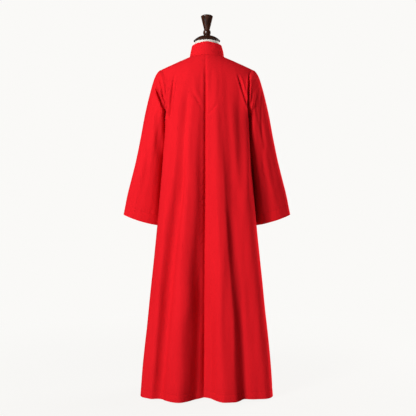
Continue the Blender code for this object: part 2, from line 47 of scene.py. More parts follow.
FLOOR_GREY, FLOOR_ROUGHNESS, FLOOR_SPECULAR = (0.50, 0.49, 0.48, 1.0), 0.9, 0.1
SHADOWS_NEAR, SHADOWS_FAR = 0.5, 2.2  # the floor's own shadows fade out between these
GLOW_NEAR, GLOW_FAR = 0.93, 1.0
SURROUND_LIGHT, SURROUND_TINT = 0.04, (1.0, 0.99, 0.98, 1.0)
CAMERA_PLACE, CAMERA_LENS, SENSOR_WIDTH = (0.0, 3.03, 0.797), 60.3, 36.0
PICTURE_WIDTH, OFF_CENTRE = 416, 1.1  # in pixels
LIGHT_TARGET = Vector((0.0, 0.03, 0.80))
LIGHTS = (  # name, place, size, power
    ("key_light", (2.5, 3.2, 2.6), 1.15, 275.0),
    ("fill_light", (-2.7, -1.75, 1.3), 2.0, 222.0),
    ("front_light", (2.2, -2.9, 2.4), 1.4, 35.0),
)


class Value:
    """What a node's output gives. Sums with it are worked out in further nodes."""

    def __init__(self, node, output=0):
        self.socket = node.outputs[output]
        self.tree = node.id_data

    def worked(self, operation, *others, clamp=False):
        inputs = dict(enumerate((self, *others)))
        return Value(new_node(self.tree, "Math", inputs, operation=operation, use_clamp=clamp))

    def __add__(self, other):
        return self.worked("ADD", other)

    def __sub__(self, other):
        return self.worked("SUBTRACT", other)

    def __mul__(self, other):
        return self.worked("MULTIPLY", other)

    def __truediv__(self, other):
        return self.worked("DIVIDE", other)


def feed(node, inputs):
    """Links a node's inputs to values from other nodes, or sets them to plain numbers."""
    for socket, value in inputs.items():
        if isinstance(value, Value):
            node.id_data.links.new(value.socket, node.inputs[socket])
        else:
            node.inputs[socket].default_value = value
    return node


def new_node(tree, kind, inputs=None, **settings):
    """A new node of a kind, with its settings and inputs."""
    node = tree.nodes.new("ShaderNode" + kind)
    for setting, value in settings.items():
        setattr(node, setting, value)
    return feed(node, inputs or {})


def new_finish(name, inputs):
    """A new material with its node tree and its shader, some sockets of which are set."""
    finish = bpy.data.materials.new(name)
    finish.use_nodes = True
    shader = finish.node_tree.nodes["Principled BSDF"]
    return finish, finish.node_tree, feed(shader, inputs)


def own_place(tree):
    """The place on the piece itself."""
    return Value(new_node(tree, "TexCoord"), "Object")


def ranged(value, low, high, to_low=0.0, to_high=1.0):
    """A value's smooth change from to_low to to_high as it goes from low to high."""
    inputs = dict(enumerate((value, low, high, to_low, to_high)))
    return Value(new_node(value.tree, "MapRange", inputs, interpolation_type="SMOOTHSTEP"))


def mixed_shaders(tree, share, first, second, output):
    """Sends a mix of two shaders to the output node."""
    mix = new_node(tree, "MixShader", {"Fac": share, 1: Value(first), 2: Value(second)})
    feed(tree.nodes[output], {"Surface": Value(mix)})


bpy.context.scene.view_settings.view_transform = "Standard"
camera = bpy.data.objects.new("camera", bpy.data.cameras.new("camera"))
camera.location = CAMERA_PLACE
camera.rotation_euler = (math.radians(90), 0, math.radians(180))
camera.data.lens = CAMERA_LENS
camera.data.sensor_width = SENSOR_WIDTH
camera.data.shift_x = OFF_CENTRE / PICTURE_WIDTH
bpy.context.scene.collection.objects.link(camera)
bpy.context.scene.camera = camera

for name, place, size, power in LIGHTS:
    light = bpy.data.lights.new(name, "AREA")
    light.size = size
    light.energy = power
    lamp = bpy.data.objects.new(name, light)
    lamp.location = place
    lamp.visible_glossy = name == "key_light"
    lamp.rotation_euler = (LIGHT_TARGET - Vector(place)).to_track_quat("-Z", "Y").to_euler()
    bpy.context.scene.collection.objects.link(lamp)

world = bpy.data.worlds.new("pale_surround")
world.use_nodes = True
bpy.context.scene.world = world
tree = world.node_tree
seen = feed(tree.nodes["Background"], {"Color": PALE})
glow = new_node(tree, "Background", {"Color": SURROUND_TINT, "Strength": SURROUND_LIGHT})
in_view = Value(new_node(tree, "LightPath"), "Is Camera Ray")
mixed_shaders(tree, in_view, glow, seen, "World Output")

floor_paint, tree, shader = new_finish("pale_floor", {
    "Base Color": FLOOR_GREY, "Roughness": FLOOR_ROUGHNESS, "Specular IOR Level": FLOOR_SPECULAR
})
glow = new_node(tree, "Emission", {"Color": PALE})
in_view = Value(new_node(tree, "LightPath"), "Is Camera Ray")
far = Value(new_node(tree, "VectorMath", {0: own_place(tree)}, operation="LENGTH"), "Value")
share = in_view * ranged(far, SHADOWS_NEAR, SHADOWS_FAR, GLOW_NEAR, GLOW_FAR)
mixed_shaders(tree, share, shader, glow, "Material Output")
bpy.ops.object.select_all(action="DESELECT")
bpy.ops.mesh.primitive_plane_add(size=FLOOR_REACH, location=(0, 0, 0))
floor = bpy.context.active_object
floor.name = "pale_floor"
floor.data.materials.append(floor_paint)

# The backs
# Two long panels of red wool twill, joined at the centre back and hanging from the
# shoulder seams over the form in deep soft folds. The centre seam draws the cloth into
# small slanting puckers, and the hem is turned up and stitched.
CLOTH, HEM_THICKER = 0.0011, 0.8  # one layer of the twill, and how much thicker a turned hem is
CLOTH_SHARP = 55
SEAM = 0.0001
GARMENT_Y = 0.030
BACK_SEAM_X = 0.005
LAP = 0.020
LAP_STEP = 0.0024
LAP_FROM, LAP_TO = 0.055, 0.022
HEM_Z = 0.006
HEM_TURN = 0.031
UNDERARM_Z = 1.168
SHOULDER_X = 0.197
NECK_X = 0.074
NECK_SEAM_X, NECK_SHOULDER_Z = 0.0728, 1.4455
SHOULDER_SLOPE, RIDGE_ROUND = 0.440, 0.020
NECK_BACK, NECK_FRONT = 0.054, 0.077
ARMHOLE_DEPTH, WELL_INSIDE_X = 0.064, 0.1
SEAM_PUCKER, SEAM_PUCKER_WIDTH, SEAM_PUCKER_REACH = 0.004, 0.030, 0.06  # the hem drawn up
BODY = (  # height, half width, depth behind, depth in front, squareness behind, in front
    (0.006, 0.2815, 0.125, 0.155, 5.0, 2.8),
    (0.138, 0.2725, 0.124, 0.152, 4.6, 2.8),
    (0.290, 0.2575, 0.122, 0.148, 4.2, 2.8),
    (0.440, 0.2425, 0.120, 0.144, 3.8, 2.7),
    (0.600, 0.2255, 0.117, 0.139, 3.4, 2.7),
    (0.745, 0.2115, 0.115, 0.133, 3.1, 2.6),
    (0.890, 0.1990, 0.113, 0.127, 2.9, 2.6),
    (1.040, 0.1870, 0.111, 0.121, 2.7, 2.6),
    (1.168, 0.1805, 0.110, 0.117, 2.6, 2.6),
    (1.268, 0.1980, 0.108, 0.115, 2.6, 2.6),
    (1.393, 0.2035, 0.108, 0.115, 2.6, 2.6),
    (1.490, 0.2035, 0.108, 0.115, 2.6, 2.6),
)
CLIMB_BEHIND, CLIMB_IN_FRONT = 2.6, 1.75
FOLD_HEIGHTS = (0.006, 0.440, 0.745, 1.080, 1.310)
# Long folds, in millimetres: x at each of the fold heights, then the rise at each
BACK_FOLDS = (
    (216, 176, 142, 122, 112, -6, -6, -5, -4, -3),
    (114, 107, 96, 82, 76, 50, 28, 13, 5, 1),
    (36, 20, 17, 16, 15, -4, -10, -8, -5, -2),
    (5, 5, 5, 5, 5, -8, -12, -10, -6, -3),
    (-10, -8, -6, -5, -5, -5, -9, -7, -4, -1),
    (-72, -60, -50, -43, -38, 46, 24, 11, 5, 1),
    (-112, -100, -75, -63, -53, 44, 22, 9, 4, 0),
    (-160, -144, -116, -100, -84, -2, -6, -8, -6, -3),
    (-222, -190, -160, -140, -128, 0, -2, -2, 0, 0),
)
FRONT_FOLDS = (
    (215, 185, 160, 140, 125, -8, -6, -3, 0, 0),
    (162, 140, 120, 106, 96, 18, 12, 5, 0, 0),
    (105, 92, 82, 76, 72, -18, -11, -5, 0, 0),
    (48, 45, 42, 40, 38, 4, 2, 0, 0, 0),
    (-48, -45, -42, -40, -38, 4, 2, 0, 0, 0),
    (-98, -88, -80, -74, -70, -16, -10, -4, 0, 0),
    (-150, -133, -117, -105, -96, 19, 12, 5, 0, 0),
    (-212, -182, -158, -140, -125, -7, -6, -3, 0, 0),
)
FOLDS_END = 1.418
SKIRT_ROWS, ARMHOLE_ROWS = 300, 100
BESIDE_SEAM = (0.0, 0.0010, 0.0021, 0.0034, 0.0050)  # columns close beside a seam
EVEN_FROM = 0.0075  # and where the even columns begin
FINE_STEPS, HALVINGS = 700, 40


def smooth_step(value):
    value = np.clip(value, 0.0, 1.0)
    return value * value * (3 - 2 * value)


def fade_in(value, start, reach):
    """0 up to start, then smoothly to 1 over reach."""
    return smooth_step((value - start) / reach)


def fade_out(value, end, reach):
    """1, then smoothly over reach to 0 at end."""
    return smooth_step((end - value) / reach)


def bell(distance, width):
    """1 at no distance, and next to nothing two widths away."""
    return np.exp(-((distance / width) ** 2))


def rows_at(table, heights):
    """Each column of a table, read smoothly at the given heights."""
    rows = np.array(table)
    knots, values = rows[:, 0], rows[:, 1:]
    slopes = np.gradient(values, knots, axis=0)
    heights = np.clip(heights, knots[0], knots[-1])
    low = np.clip(np.searchsorted(knots, heights, side="right") - 1, 0, len(knots) - 2)
    span = (knots[low + 1] - knots[low])[..., None]
    part = (heights - knots[low])[..., None] / span
    found = (
        (1 + 2 * part) * (1 - part) ** 2 * values[low]
        + part * (1 - part) ** 2 * span * slopes[low]
        + part**2 * (3 - 2 * part) * values[low + 1]
        + part**2 * (part - 1) * span * slopes[low + 1]
    )
    return np.moveaxis(found, -1, 0)


def ridge_height(x):
    """Height of the shoulder seam's line, rounded over at the middle."""
    return NECK_SHOULDER_Z + SHOULDER_SLOPE * (NECK_SEAM_X - np.hypot(x, RIDGE_ROUND))


def turn_over(x, z, power):
    """What is left of the depth as the cloth climbs to the shoulder seam."""
    climb = np.clip((z - UNDERARM_Z) / (ridge_height(x) - UNDERARM_Z), 0.0, 1.0)
    return (1 - climb**power) ** (1 / power)


def body_depth(x, z, behind):
    """Distance of the plain body from the garment's middle plane."""
    half_width, back, front, square_back, square_front = rows_at(BODY, z)
    square = square_back if behind else square_front
    side = np.clip(1 - (np.abs(x) / half_width) ** square, 0.0, 1.0) ** (1 / square)
    power = CLIMB_BEHIND if behind else CLIMB_IN_FRONT
    return (back if behind else front) * side * turn_over(x, z, power)


def fold_depth(x, z, behind):
    """What the long folds add to the body's depth."""
    x, z = np.broadcast_arrays(np.asarray(x, float), np.asarray(z, float))
    lines = np.array(BACK_FOLDS if behind else FRONT_FOLDS) / 1000
    places = rows_at(np.column_stack([FOLD_HEIGHTS, lines[:, :5].T]), z)
    rises = rows_at(np.column_stack([FOLD_HEIGHTS, lines[:, 5:].T]), z)
    edge = rows_at(BODY, z)[0]
    places = np.concatenate([edge[None], places, -edge[None]])
    rises = np.concatenate([0 * edge[None], rises, 0 * edge[None]])
    total = np.zeros(x.shape)
    for left, right, from_rise, to_rise in zip(places, places[1:], rises, rises[1:]):
        inside = (x <= left) & (x > right)
        share = smooth_step((left - x) / (left - right))
        total = np.where(inside, from_rise + (to_rise - from_rise) * share, total)
    return total * fade_out(z, FOLDS_END, FOLDS_END - FOLD_HEIGHTS[-1])


def cloth_depth(x, z, behind, under_lap=False):
    """Distance of the folded cloth from the garment's middle plane."""
    depth = body_depth(x, z, behind) + fold_depth(x, z, behind)
    if under_lap:
        depth = depth - LAP_STEP * smooth_step((x + LAP_FROM) / (LAP_FROM - LAP_TO))
    return depth


def halved(low, high, is_low):
    """The place between two limits where a test turns, found by halving."""
    low, high = np.array(low, float), np.array(high, float)
    for _ in range(HALVINGS):
        middle = (low + high) / 2
        keep = is_low(middle)
        low, high = np.where(keep, middle, low), np.where(keep, high, middle)
    return (low + high) / 2


def top_height(x, behind):
    """Height of a panel's top edge: the neckline, then the shoulder seam."""
    reach = NECK_BACK if behind else NECK_FRONT
    across = np.clip(np.abs(x) / NECK_X, 0.0, 1.0)
    plan = reach * np.sqrt(1 - across**2)
    ridge = ridge_height(x)
    neckline = halved(
        np.full_like(ridge, UNDERARM_Z), ridge, lambda z: body_depth(x, z, behind) > plan
    )
    return np.where(across < 1, neckline, ridge)


def armhole(rise, behind):
    """Where the armhole's edge is, from the underarm (rise 0) to the shoulder (rise 1)."""
    shoulder_z = ridge_height(np.array(SHOULDER_X))
    z = UNDERARM_Z + (shoulder_z - UNDERARM_Z) * (1 - math.cos(math.pi * rise)) / 2
    y = ARMHOLE_DEPTH * math.sin(math.pi * rise)
    half_width = rows_at(BODY, z)[0]
    limit = SHOULDER_X if rise == 1 else half_width
    if rise in (0, 1):
        return float(limit), float(z)
    x = halved(WELL_INSIDE_X, half_width, lambda x: body_depth(x, z, behind) > y)
    return float(x), float(z)


def panel_grid(behind, side, first_x, neck_columns, shoulder_columns):
    """Places (x, z) on a panel: rows from the hem up, columns from the centre to the side."""
    beside = np.array(BESIDE_SEAM)
    neck_reach, shoulder_reach = NECK_X - side * first_x, SHOULDER_X - NECK_X
    turned = np.sin(np.linspace(0, math.pi / 2, neck_columns))
    neck_x = side * first_x + np.concatenate([beside, EVEN_FROM + (neck_reach - EVEN_FROM) * turned])
    shoulder_x = NECK_X + np.concatenate([
        np.linspace(0, shoulder_reach - EVEN_FROM, shoulder_columns)[1:], shoulder_reach - beside[::-1]
    ])
    top_x = side * np.concatenate([neck_x, shoulder_x])
    top_share = (top_x - top_x[0]) / (top_x[-1] - top_x[0])
    fine = 1 - (1 - np.linspace(0, 1, FINE_STEPS)) ** 3
    levels = [
        (HEM_Z + (UNDERARM_Z - HEM_Z) * i / SKIRT_ROWS, 0.0) for i in range(SKIRT_ROWS)
    ] + [(UNDERARM_Z, i / ARMHOLE_ROWS) for i in range(ARMHOLE_ROWS + 1)]
    grid_x, grid_z = [], []
    for level, rise in levels:
        end_x, end_z = armhole(rise, behind)
        if level < UNDERARM_Z:
            end_x, end_z = float(rows_at(BODY, np.array(level))[0]), level

        def heights(x, share):
            if rise == 0:
                return np.full_like(x, level)
            near_arm = share**3 * (1 - rise**4)
            climb = (1 - near_arm) * math.sin(math.pi * rise / 2)
            climb = climb + near_arm * (1 - math.cos(math.pi * rise)) / 2
            shoulder_z = float(ridge_height(SHOULDER_X))
            top = (1 - near_arm) * top_height(x, behind) + near_arm * shoulder_z
            return UNDERARM_Z + (top - UNDERARM_Z) * (climb if rise < 1 else 1.0)

        x = first_x + (side * end_x - first_x) * fine
        z = heights(x, fine)
        line = np.stack([x, body_depth(x, z, behind), z], axis=1)
        along = np.concatenate([[0.0], np.cumsum(np.linalg.norm(np.diff(line, axis=0), axis=1))])
        whole = along[-1]
        middle = np.linspace(EVEN_FROM, whole - EVEN_FROM, neck_columns + shoulder_columns - 1)
        wanted = np.concatenate([beside, middle, whole - beside[::-1]])
        even_share = np.interp(wanted, along, fine)
        share = (1 - rise**2) * even_share + rise**2 * top_share
        share[0], share[-1] = 0.0, 1.0
        x = first_x + (side * end_x - first_x) * share
        z = heights(x, share)
        z[-1] = end_z
        grid_x.append(x)
        grid_z.append(z)
    return np.array(grid_x), np.array(grid_z)


# How a crease wanders across its line, fades at its ends and banks up beside its trough
WANDER, WANDER_TURNS, WANDER_SHIFT = 0.35, 5.1, 1.7
CREASE_FADE, BANK, BANK_PLACE = 0.3, 0.30, 2.1


def creases(x, z, table):
    """Soft troughs (below 0) and ridges along slightly wandering lines, which fade at both ends.

    Each row, in millimetres: from x, z to x, z, then the height and the half width.
    """
    total = np.zeros(np.shape(x))
    for number, row in enumerate(np.array(table, float) / 1000):
        from_x, from_z, to_x, to_z, height, width = row
        run_x, run_z = to_x - from_x, to_z - from_z
        length = math.hypot(run_x, run_z)
        along = ((x - from_x) * run_x + (z - from_z) * run_z) / length**2
        across = ((x - from_x) * run_z - (z - from_z) * run_x) / length
        across = across + WANDER * width * np.sin(WANDER_TURNS * along + WANDER_SHIFT * number)
        fade = fade_in(along, 0, CREASE_FADE) * fade_out(along, 1, CREASE_FADE)
        bank = BANK * bell(np.abs(across) - BANK_PLACE * width, width)
        total += height * fade * (bell(across, width) - bank)
    return total


RIPPLE_WAVES = 14


def ripples(across, down, kind, seed):
    """Uneven shallow ripples that run mostly down the cloth; a kind has rise, widths, lengths."""
    rise, widths, lengths = kind
    draw = np.random.default_rng(seed)
    total = np.zeros(np.shape(across))
    for _ in range(RIPPLE_WAVES):
        width = draw.uniform(*widths)
        length = draw.uniform(*lengths) * draw.choice((-1, 1))
        phase = draw.uniform(0, 2 * math.pi)
        total += np.sin(2 * math.pi * (across / width + down / length) + phase)
    return rise * (total / math.sqrt(RIPPLE_WAVES))


def press_lines(offset, lines):
    """The offset with lines pressed into it, each of a depth and a width, some way away."""
    for away, (depth, width) in lines:
        offset = offset - depth * bell(away, width)
    return offset


def grid_normals(points, closed, facing):
    """Unit directions square to a grid of points, on the side that facing points to."""
    if closed:
        around = np.roll(points, -1, axis=1) - np.roll(points, 1, axis=1)
    else:
        around = np.gradient(points, axis=1)
    found = np.cross(around, np.gradient(points, axis=0))
    length = np.linalg.norm(found, axis=2, keepdims=True)
    found = found / np.maximum(length, 1e-12)
    if (found * facing).sum() < 0:
        found = -found
    return found


def distances(points):
    """How far each point is from the first column and from the first row, along the cloth."""
    steps = np.linalg.norm(np.diff(points, axis=1), axis=2)
    across = np.pad(np.cumsum(steps, axis=1), ((0, 0), (1, 0)))
    steps = np.linalg.norm(np.diff(points, axis=0), axis=2)
    up = np.pad(np.cumsum(steps, axis=0), ((1, 0), (0, 0)))
    return across, up


def cloth_piece(name, outer, normals, thickness, maps, material, closed=False):
    """A wall of cloth lofted through a grid of outer points, with a map of places on the cloth.

    maps names each UV map and gives its two grids; closed joins the last column to the first.
    """
    rows, columns = outer.shape[:2]
    inner = outer - np.asarray(thickness)[..., None] * normals
    points = np.concatenate([outer.reshape(-1, 3), inner.reshape(-1, 3)])
    wide = columns + 1 if closed else columns
    i, j = (part.ravel() for part in np.indices((rows - 1, wide - 1)))
    corner_rows = np.stack([i, i, i + 1, i + 1], axis=1)
    corner_columns = np.stack([j, j + 1, j + 1, j], axis=1)
    low, high = np.arange(wide - 1), np.arange(1, wide)
    first, last = np.zeros(wide - 1, int), np.full(wide - 1, rows - 1)
    strips = [(first, first, high, low), (last, last, low, high)]
    if not closed:
        up, over = np.arange(rows - 1), np.arange(1, rows)
        left, right = np.zeros(rows - 1, int), np.full(rows - 1, columns - 1)
        strips += [(up, over, left, left), (over, up, right, right)]
    layer_size = rows * columns
    faces = [(corner_rows, corner_columns, np.zeros_like(corner_rows))]
    faces.append((corner_rows[:, ::-1], corner_columns[:, ::-1], np.ones_like(corner_rows)))
    for row_a, row_b, column_a, column_b in strips:
        faces.append((
            np.stack([row_a, row_b, row_b, row_a], axis=1),
            np.stack([column_a, column_b, column_b, column_a], axis=1),
            np.tile([0, 0, 1, 1], (len(row_a), 1)),
        ))
    face_rows, face_columns, face_layers = (np.concatenate(part) for part in zip(*faces))
    corners = face_layers * layer_size + face_rows * columns + face_columns % columns
    start, along_row, _, up_column = points[corners[0]]
    if (np.cross(along_row - start, up_column - start) * normals[0, 0]).sum() < 0:
        corners, face_rows, face_columns = corners[:, ::-1], face_rows[:, ::-1], face_columns[:, ::-1]
    mesh = bpy.data.meshes.new(name)
    mesh.from_pydata(points.tolist(), [], corners.tolist())
    for map_name, (grid_u, grid_v) in maps.items():
        layer = mesh.uv_layers.new(name=map_name)
        places = np.stack([grid[face_rows, face_columns] for grid in (grid_u, grid_v)], axis=-1)
        layer.data.foreach_set("uv", places.astype(np.float32).ravel())
    mesh.materials.append(material)
    mesh.shade_smooth()
    mesh.set_sharp_from_angle(angle=math.radians(CLOTH_SHARP))
    piece = bpy.data.objects.new(name, mesh)
    bpy.context.scene.collection.objects.link(piece)
    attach(piece, "root")
    return piece


# Shader work for the cloth: groups with named sockets, colours, noise and bumps
def new_group(name, inputs, outputs):
    """A node group, the values that it is given, and the node that takes what it makes."""
    group = bpy.data.node_groups.new(name, "ShaderNodeTree")
    for way, sockets in (("INPUT", inputs), ("OUTPUT", outputs)):
        for socket_name, kind in sockets.items():
            group.interface.new_socket(socket_name, in_out=way, socket_type="NodeSocket" + kind)
    entry = group.nodes.new("NodeGroupInput")
    given = {socket_name: Value(entry, socket_name) for socket_name in inputs}
    return group, given, group.nodes.new("NodeGroupOutput")


def axes(place):
    """The X, Y and Z of a place."""
    node = new_node(place.tree, "SeparateXYZ", {"Vector": place})
    return [Value(node, axis) for axis in "XYZ"]


def wave(value, length):
    """A sine wave along a value, one turn for each length."""
    return (value * (2 * math.pi / length)).worked("SINE")


def blend(share, first, second):
    """A colour between two, mixed by share."""
    inputs = {"Factor": share, 6: first, 7: second}
    return Value(new_node(share.tree, "Mix", inputs, data_type="RGBA"), 2)


def noise(place, stretch, detail, roughness):
    """Noise on a place that is first scaled by stretch, as a value about 0.5."""
    placed = Value(new_node(place.tree, "Mapping", {"Scale": stretch, "Vector": place}))
    inputs = {"Scale": 1.0, "Detail": detail, "Roughness": roughness, "Vector": placed}
    return Value(new_node(place.tree, "TexNoise", inputs), "Fac")


def add_bumps(shader, height, strength, distance):
    """Raises a shader's surface by a height."""
    inputs = {"Height": height, "Strength": strength, "Distance": distance}
    feed(shader, {"Normal": Value(new_node(shader.id_data, "Bump", inputs))})


# Twill: slanting ribs of yarn, slubs along the warp, slow changes of shade in the dye, and painted
# shade that darkens the grooves between the ribs
RIB_RISE, YARN_RISE, WARP_SHARE = 0.30, 0.15, 0.6
SHADE, CLOUD_SHADE, THREAD_SHADE, GROOVE_PAINTED_SHADE = 0.30, 0.9, 0.9, 0.25
twill, given, made = new_group(
    "wool_twill",
    {"Cloth": "Vector", "Colour": "Color", "Deep Colour": "Color", "Rib Pitch": "Float"},
    {"Color": "Color", "Roughness": "Float", "Height": "Float"},
)
cloth, pitch = given["Cloth"], given["Rib Pitch"]
x, y, _ = axes(cloth)
ribs = ((x + y) / pitch * (2 * math.pi)).worked("SINE")
yarns = ((x - y * 2.0) / pitch * (2 * math.pi)).worked("SINE")
slubs = noise(cloth, (1400.0, 45.0, 1.0), 3.0, 0.6)
weft = noise(cloth, (60.0, 1500.0, 1.0), 2.0, 0.6)
fuzz = noise(cloth, (900.0, 900.0, 1.0), 3.0, 0.7)
clouds = noise(cloth, (9.0, 3.5, 1.0), 3.0, 0.55)
weave = ribs * RIB_RISE + yarns * YARN_RISE
threads = slubs * WARP_SHARE + weft * (1 - WARP_SHARE)
shade = (clouds - 0.5) * CLOUD_SHADE + SHADE + (threads - 0.5) * THREAD_SHADE
# The weave's grooves are painted darker than its ribs: painted shade, following the same weave that
# raises the bumps
shade = shade.worked("SUBTRACT", weave * GROOVE_PAINTED_SHADE, clamp=True)
feed(made, {
    "Color": blend(shade, given["Colour"], given["Deep Colour"]),
    "Roughness": ranged(fuzz, 0.3, 0.7, 0.56, 0.72),
    "Height": weave + 0.5 + (threads - 0.5),
})

# One row of machine stitches: short raised threads in a shallow drawn-in line
THREAD_INNER, THREAD_OUTER, DRAWN_WIDTH, DRAWN_DEPTH = 0.00022, 0.00048, 0.0022, 1.5
STITCH_INNER, STITCH_OUTER = 0.34, 0.44  # half of one stitch, as a share of its pitch
stitching, given, made = new_group(
    "stitch_row",
    {"Across": "Float", "Along": "Float", "Stitch Length": "Float"},
    {"Thread": "Float", "Height": "Float"},
)
off = given["Across"].worked("ABSOLUTE")
from_middle = ((given["Along"] / given["Stitch Length"]).worked("FRACT") - 0.5).worked("ABSOLUTE")
thread = ranged(off, THREAD_INNER, THREAD_OUTER, 1.0, 0.0)
thread = thread * ranged(from_middle, STITCH_INNER, STITCH_OUTER, 1.0, 0.0)
drawn = ranged(off, 0.0, DRAWN_WIDTH, 1.0, 0.0)
feed(made, {"Thread": thread, "Height": thread - drawn * DRAWN_DEPTH})

RED, DEEP_RED = (0.575, 0.0100, 0.0156, 1.0), (0.466, 0.0066, 0.0108, 1.0)
THREAD_RED, THREAD_SHARE = (0.36, 0.0045, 0.0075, 1.0), 0.7
RIB_PITCH = 0.0011
WOOL_BUMPS = 0.35, 0.0003  # strength, distance


def wool(name, stitch_rows, add_holes=None):
    """Red wool twill with rows of stitches, and buttonholes where add_holes works them.

    Each row: map, axis it is across, where, stitch length.
    """
    finish, tree, shader = new_finish(name, {"Specular IOR Level": 0.0})
    cloth = Value(new_node(tree, "UVMap", uv_map="cloth"))
    inputs = {"Cloth": cloth, "Colour": RED, "Deep Colour": DEEP_RED, "Rib Pitch": RIB_PITCH}
    ground = new_node(tree, "Group", inputs, node_tree=twill)
    colour, height = Value(ground, "Color"), Value(ground, "Height")
    for map_name, axis, where, length in stitch_rows:
        across = "XY".index(axis)
        from_edge = axes(Value(new_node(tree, "UVMap", uv_map=map_name)))[across]
        along = axes(cloth)[1 - across]
        inputs = {"Across": from_edge - where, "Along": along, "Stitch Length": length}
        row = new_node(tree, "Group", inputs, node_tree=stitching)
        colour = blend(Value(row, "Thread") * THREAD_SHARE, colour, THREAD_RED)
        height = height + Value(row, "Height")
    if add_holes:
        colour, height = add_holes(cloth, colour, height)
    feed(shader, {"Base Color": colour, "Roughness": Value(ground, "Roughness")})
    add_bumps(shader, height, *WOOL_BUMPS)
    return finish


STITCH, SHOULDER_STITCH = 0.0028, 0.006  # a stitch's length, and how far the row is from the seam
back_rows = [("cloth", "Y", HEM_TURN, STITCH), ("edges", "Y", SHOULDER_STITCH, STITCH)]
back_wool = wool("red_wool_back", back_rows)

# Creases of the backs, in millimetres: from x, z to x, z, height, half width
BACK_CREASES = (
    (70, 1370, 124, 700, -7.5, 12),
    (106, 1350, 160, 700, 4.0, 13),
    (40, 1340, 52, 800, 3.5, 17),
    (101, 1060, 210, -220, -11.0, 16),
    (141, 1060, 254, -220, 8.0, 15),
    (14, 620, 16, -240, -7.0, 25),
    (50, 1060, 80, 260, 9.0, 25),
    (74, 520, 92, -20, 6.0, 26),
    (-156, 1120, -252, -260, 7.0, 23),
    (-154, 1370, -170, 740, 9.0, 14),
    (-86, 1310, -152, 780, 4.0, 15),
    (-60, 1270, -90, 800, -2.6, 12),
    (-80, 960, -130, 300, -4.0, 13),
    (-116, 520, -182, -200, -5.5, 15),
    (-92, 820, -134, -160, -5.0, 20),
    (72, 1312, 16, 1196, -1.8, 6),
    (-48, 1236, -1, 1180, -1.7, 5),
    (30, 1380, 24, 1250, -0.9, 6),
    (-22, 1390, -16, 1270, -0.8, 5),
    (52, 1370, 44, 1240, 0.8, 8),
    (-40, 1375, -33, 1230, 0.8, 7),
)
# Creases that run over the armholes, from the sleeves into the backs
ARMHOLE_CREASES = (
    (222, 1326, 161, 1162, -22.0, 4.2),
    (204, 1368, 178, 1236, -7.0, 4.0),
    (168, 1368, 166, 1278, -0.8, 4.0),
    (137, 1366, 158, 1150, -5.5, 4.0),
    (-184, 1376, -167, 1166, -13.0, 3.6),
    (-207, 1310, -184, 1196, 4.5, 5.0),
    (-125, 1372, -180, 1195, -5.5, 4.5),
)
# The valley along the centre seam, in millimetres, and the narrow groove in it. It is wide
# on the wearer's left and steep on the right.
SEAM_VALLEY = (  # height, valley, groove, drift of the seam
    (0, 3.0, 2.5, 8.0),
    (60, 6.0, 4.5, 7.6),
    (300, 7.5, 6.0, 6.0),
    (560, 8.0, 5.0, 4.5),
    (830, 7.0, 6.5, 2.5),
    (960, 7.0, 7.0, 1.7),
    (1080, 4.5, 6.5, 1.0),
    (1230, 3.0, 6.5, 0.0),
    (1330, 1.5, 4.5, 0.0),
    (1420, 0.3, 1.4, 0.0),
)
LEFT_OF_SEAM, RIGHT_OF_SEAM = (0.024, 0.0062), (0.010, 0.0030)  # widths of valley and groove
DRIFT_REACH = 0.15  # how far from the seam its drift fades out
# The cloth over the shoulder blades runs on into the sleeves
BLADE_FILL, BLADE_WIDTH = 0.009, 0.024
BLADE_FOOT_Z, BLADE_FOOT_FADE, BLADE_TOP_Z, BLADE_TOP_FADE = 1.185, 0.045, 1.386, 0.050
ARMPIT_SINK, ARMPIT_WIDTH = 0.0175, 0.0068  # how the cloth sinks along the lower armhole
SINK_FOOT_Z, SINK_FOOT_FADE, SINK_TOP_FADE = 1.171, 0.020, 0.060
SINK_TOP_LEFT, SINK_TOP_RIGHT = 1.245, 1.265
STRAIGHT_WIDTH = 0.012  # beside a seam both pieces are moved in one direction
# Ripples: height, widths across, lengths down the cloth. They fade towards the shoulders
FINE_RIPPLES = 0.00026, (0.018, 0.050), (0.30, 0.90)
BROAD_RIPPLES = 0.0010, (0.050, 0.110), (0.60, 1.60)
RIPPLES_END_Z, RIPPLES_FADE = 1.25, 0.9
# Lines pressed along the edges: depth and width
LAP_EDGE, HEM_LINE = (0.0009, 0.0022), (0.0007, 0.0025)
SIDE_ROLL, TOP_ROLL = (0.0002, 0.0020), (0.0005, 0.0024)
EDGE_PLAIN, EDGE_FADE, TOP_FADE = 0.001, 0.026, 0.030  # no creases at a seam, all of them further in
# Puckers of the centre seam, in millimetres. High up they keep only a share of their depth
PUCKER_ROWS, PUCKER_PITCH, LOWEST_PUCKER = 58, 21, 40
PUCKERS_LESS_ABOVE, PUCKERS_FADE, HIGH_SHARE = 1150, 300, 0.35
LEFT_PUCKER, RIGHT_PUCKER = 0.95, 0.70


def seam_puckers(seed):
    """Short slanting troughs that the centre seam draws into the cloth on both sides."""
    draw = np.random.default_rng(seed)
    rows = []
    seam_x = BACK_SEAM_X * 1000
    for step in range(PUCKER_ROWS):
        height = LOWEST_PUCKER + step * PUCKER_PITCH + draw.uniform(-6, 6)
        for side, strength in ((1, LEFT_PUCKER), (-1, RIGHT_PUCKER)):
            reach, drop = draw.uniform(12, 30), draw.uniform(6, 26)
            low = fade_out(height, PUCKERS_LESS_ABOVE, PUCKERS_FADE)
            depth = strength * draw.uniform(0.4, 1.5) * (HIGH_SHARE + (1 - HIGH_SHARE) * low)
            width = draw.uniform(2.6, 4.6)
            start, end = (seam_x - side * 2, height + 4), (seam_x + side * reach, height - drop)
            rows.append((*start, *end, -depth, width))
    return rows


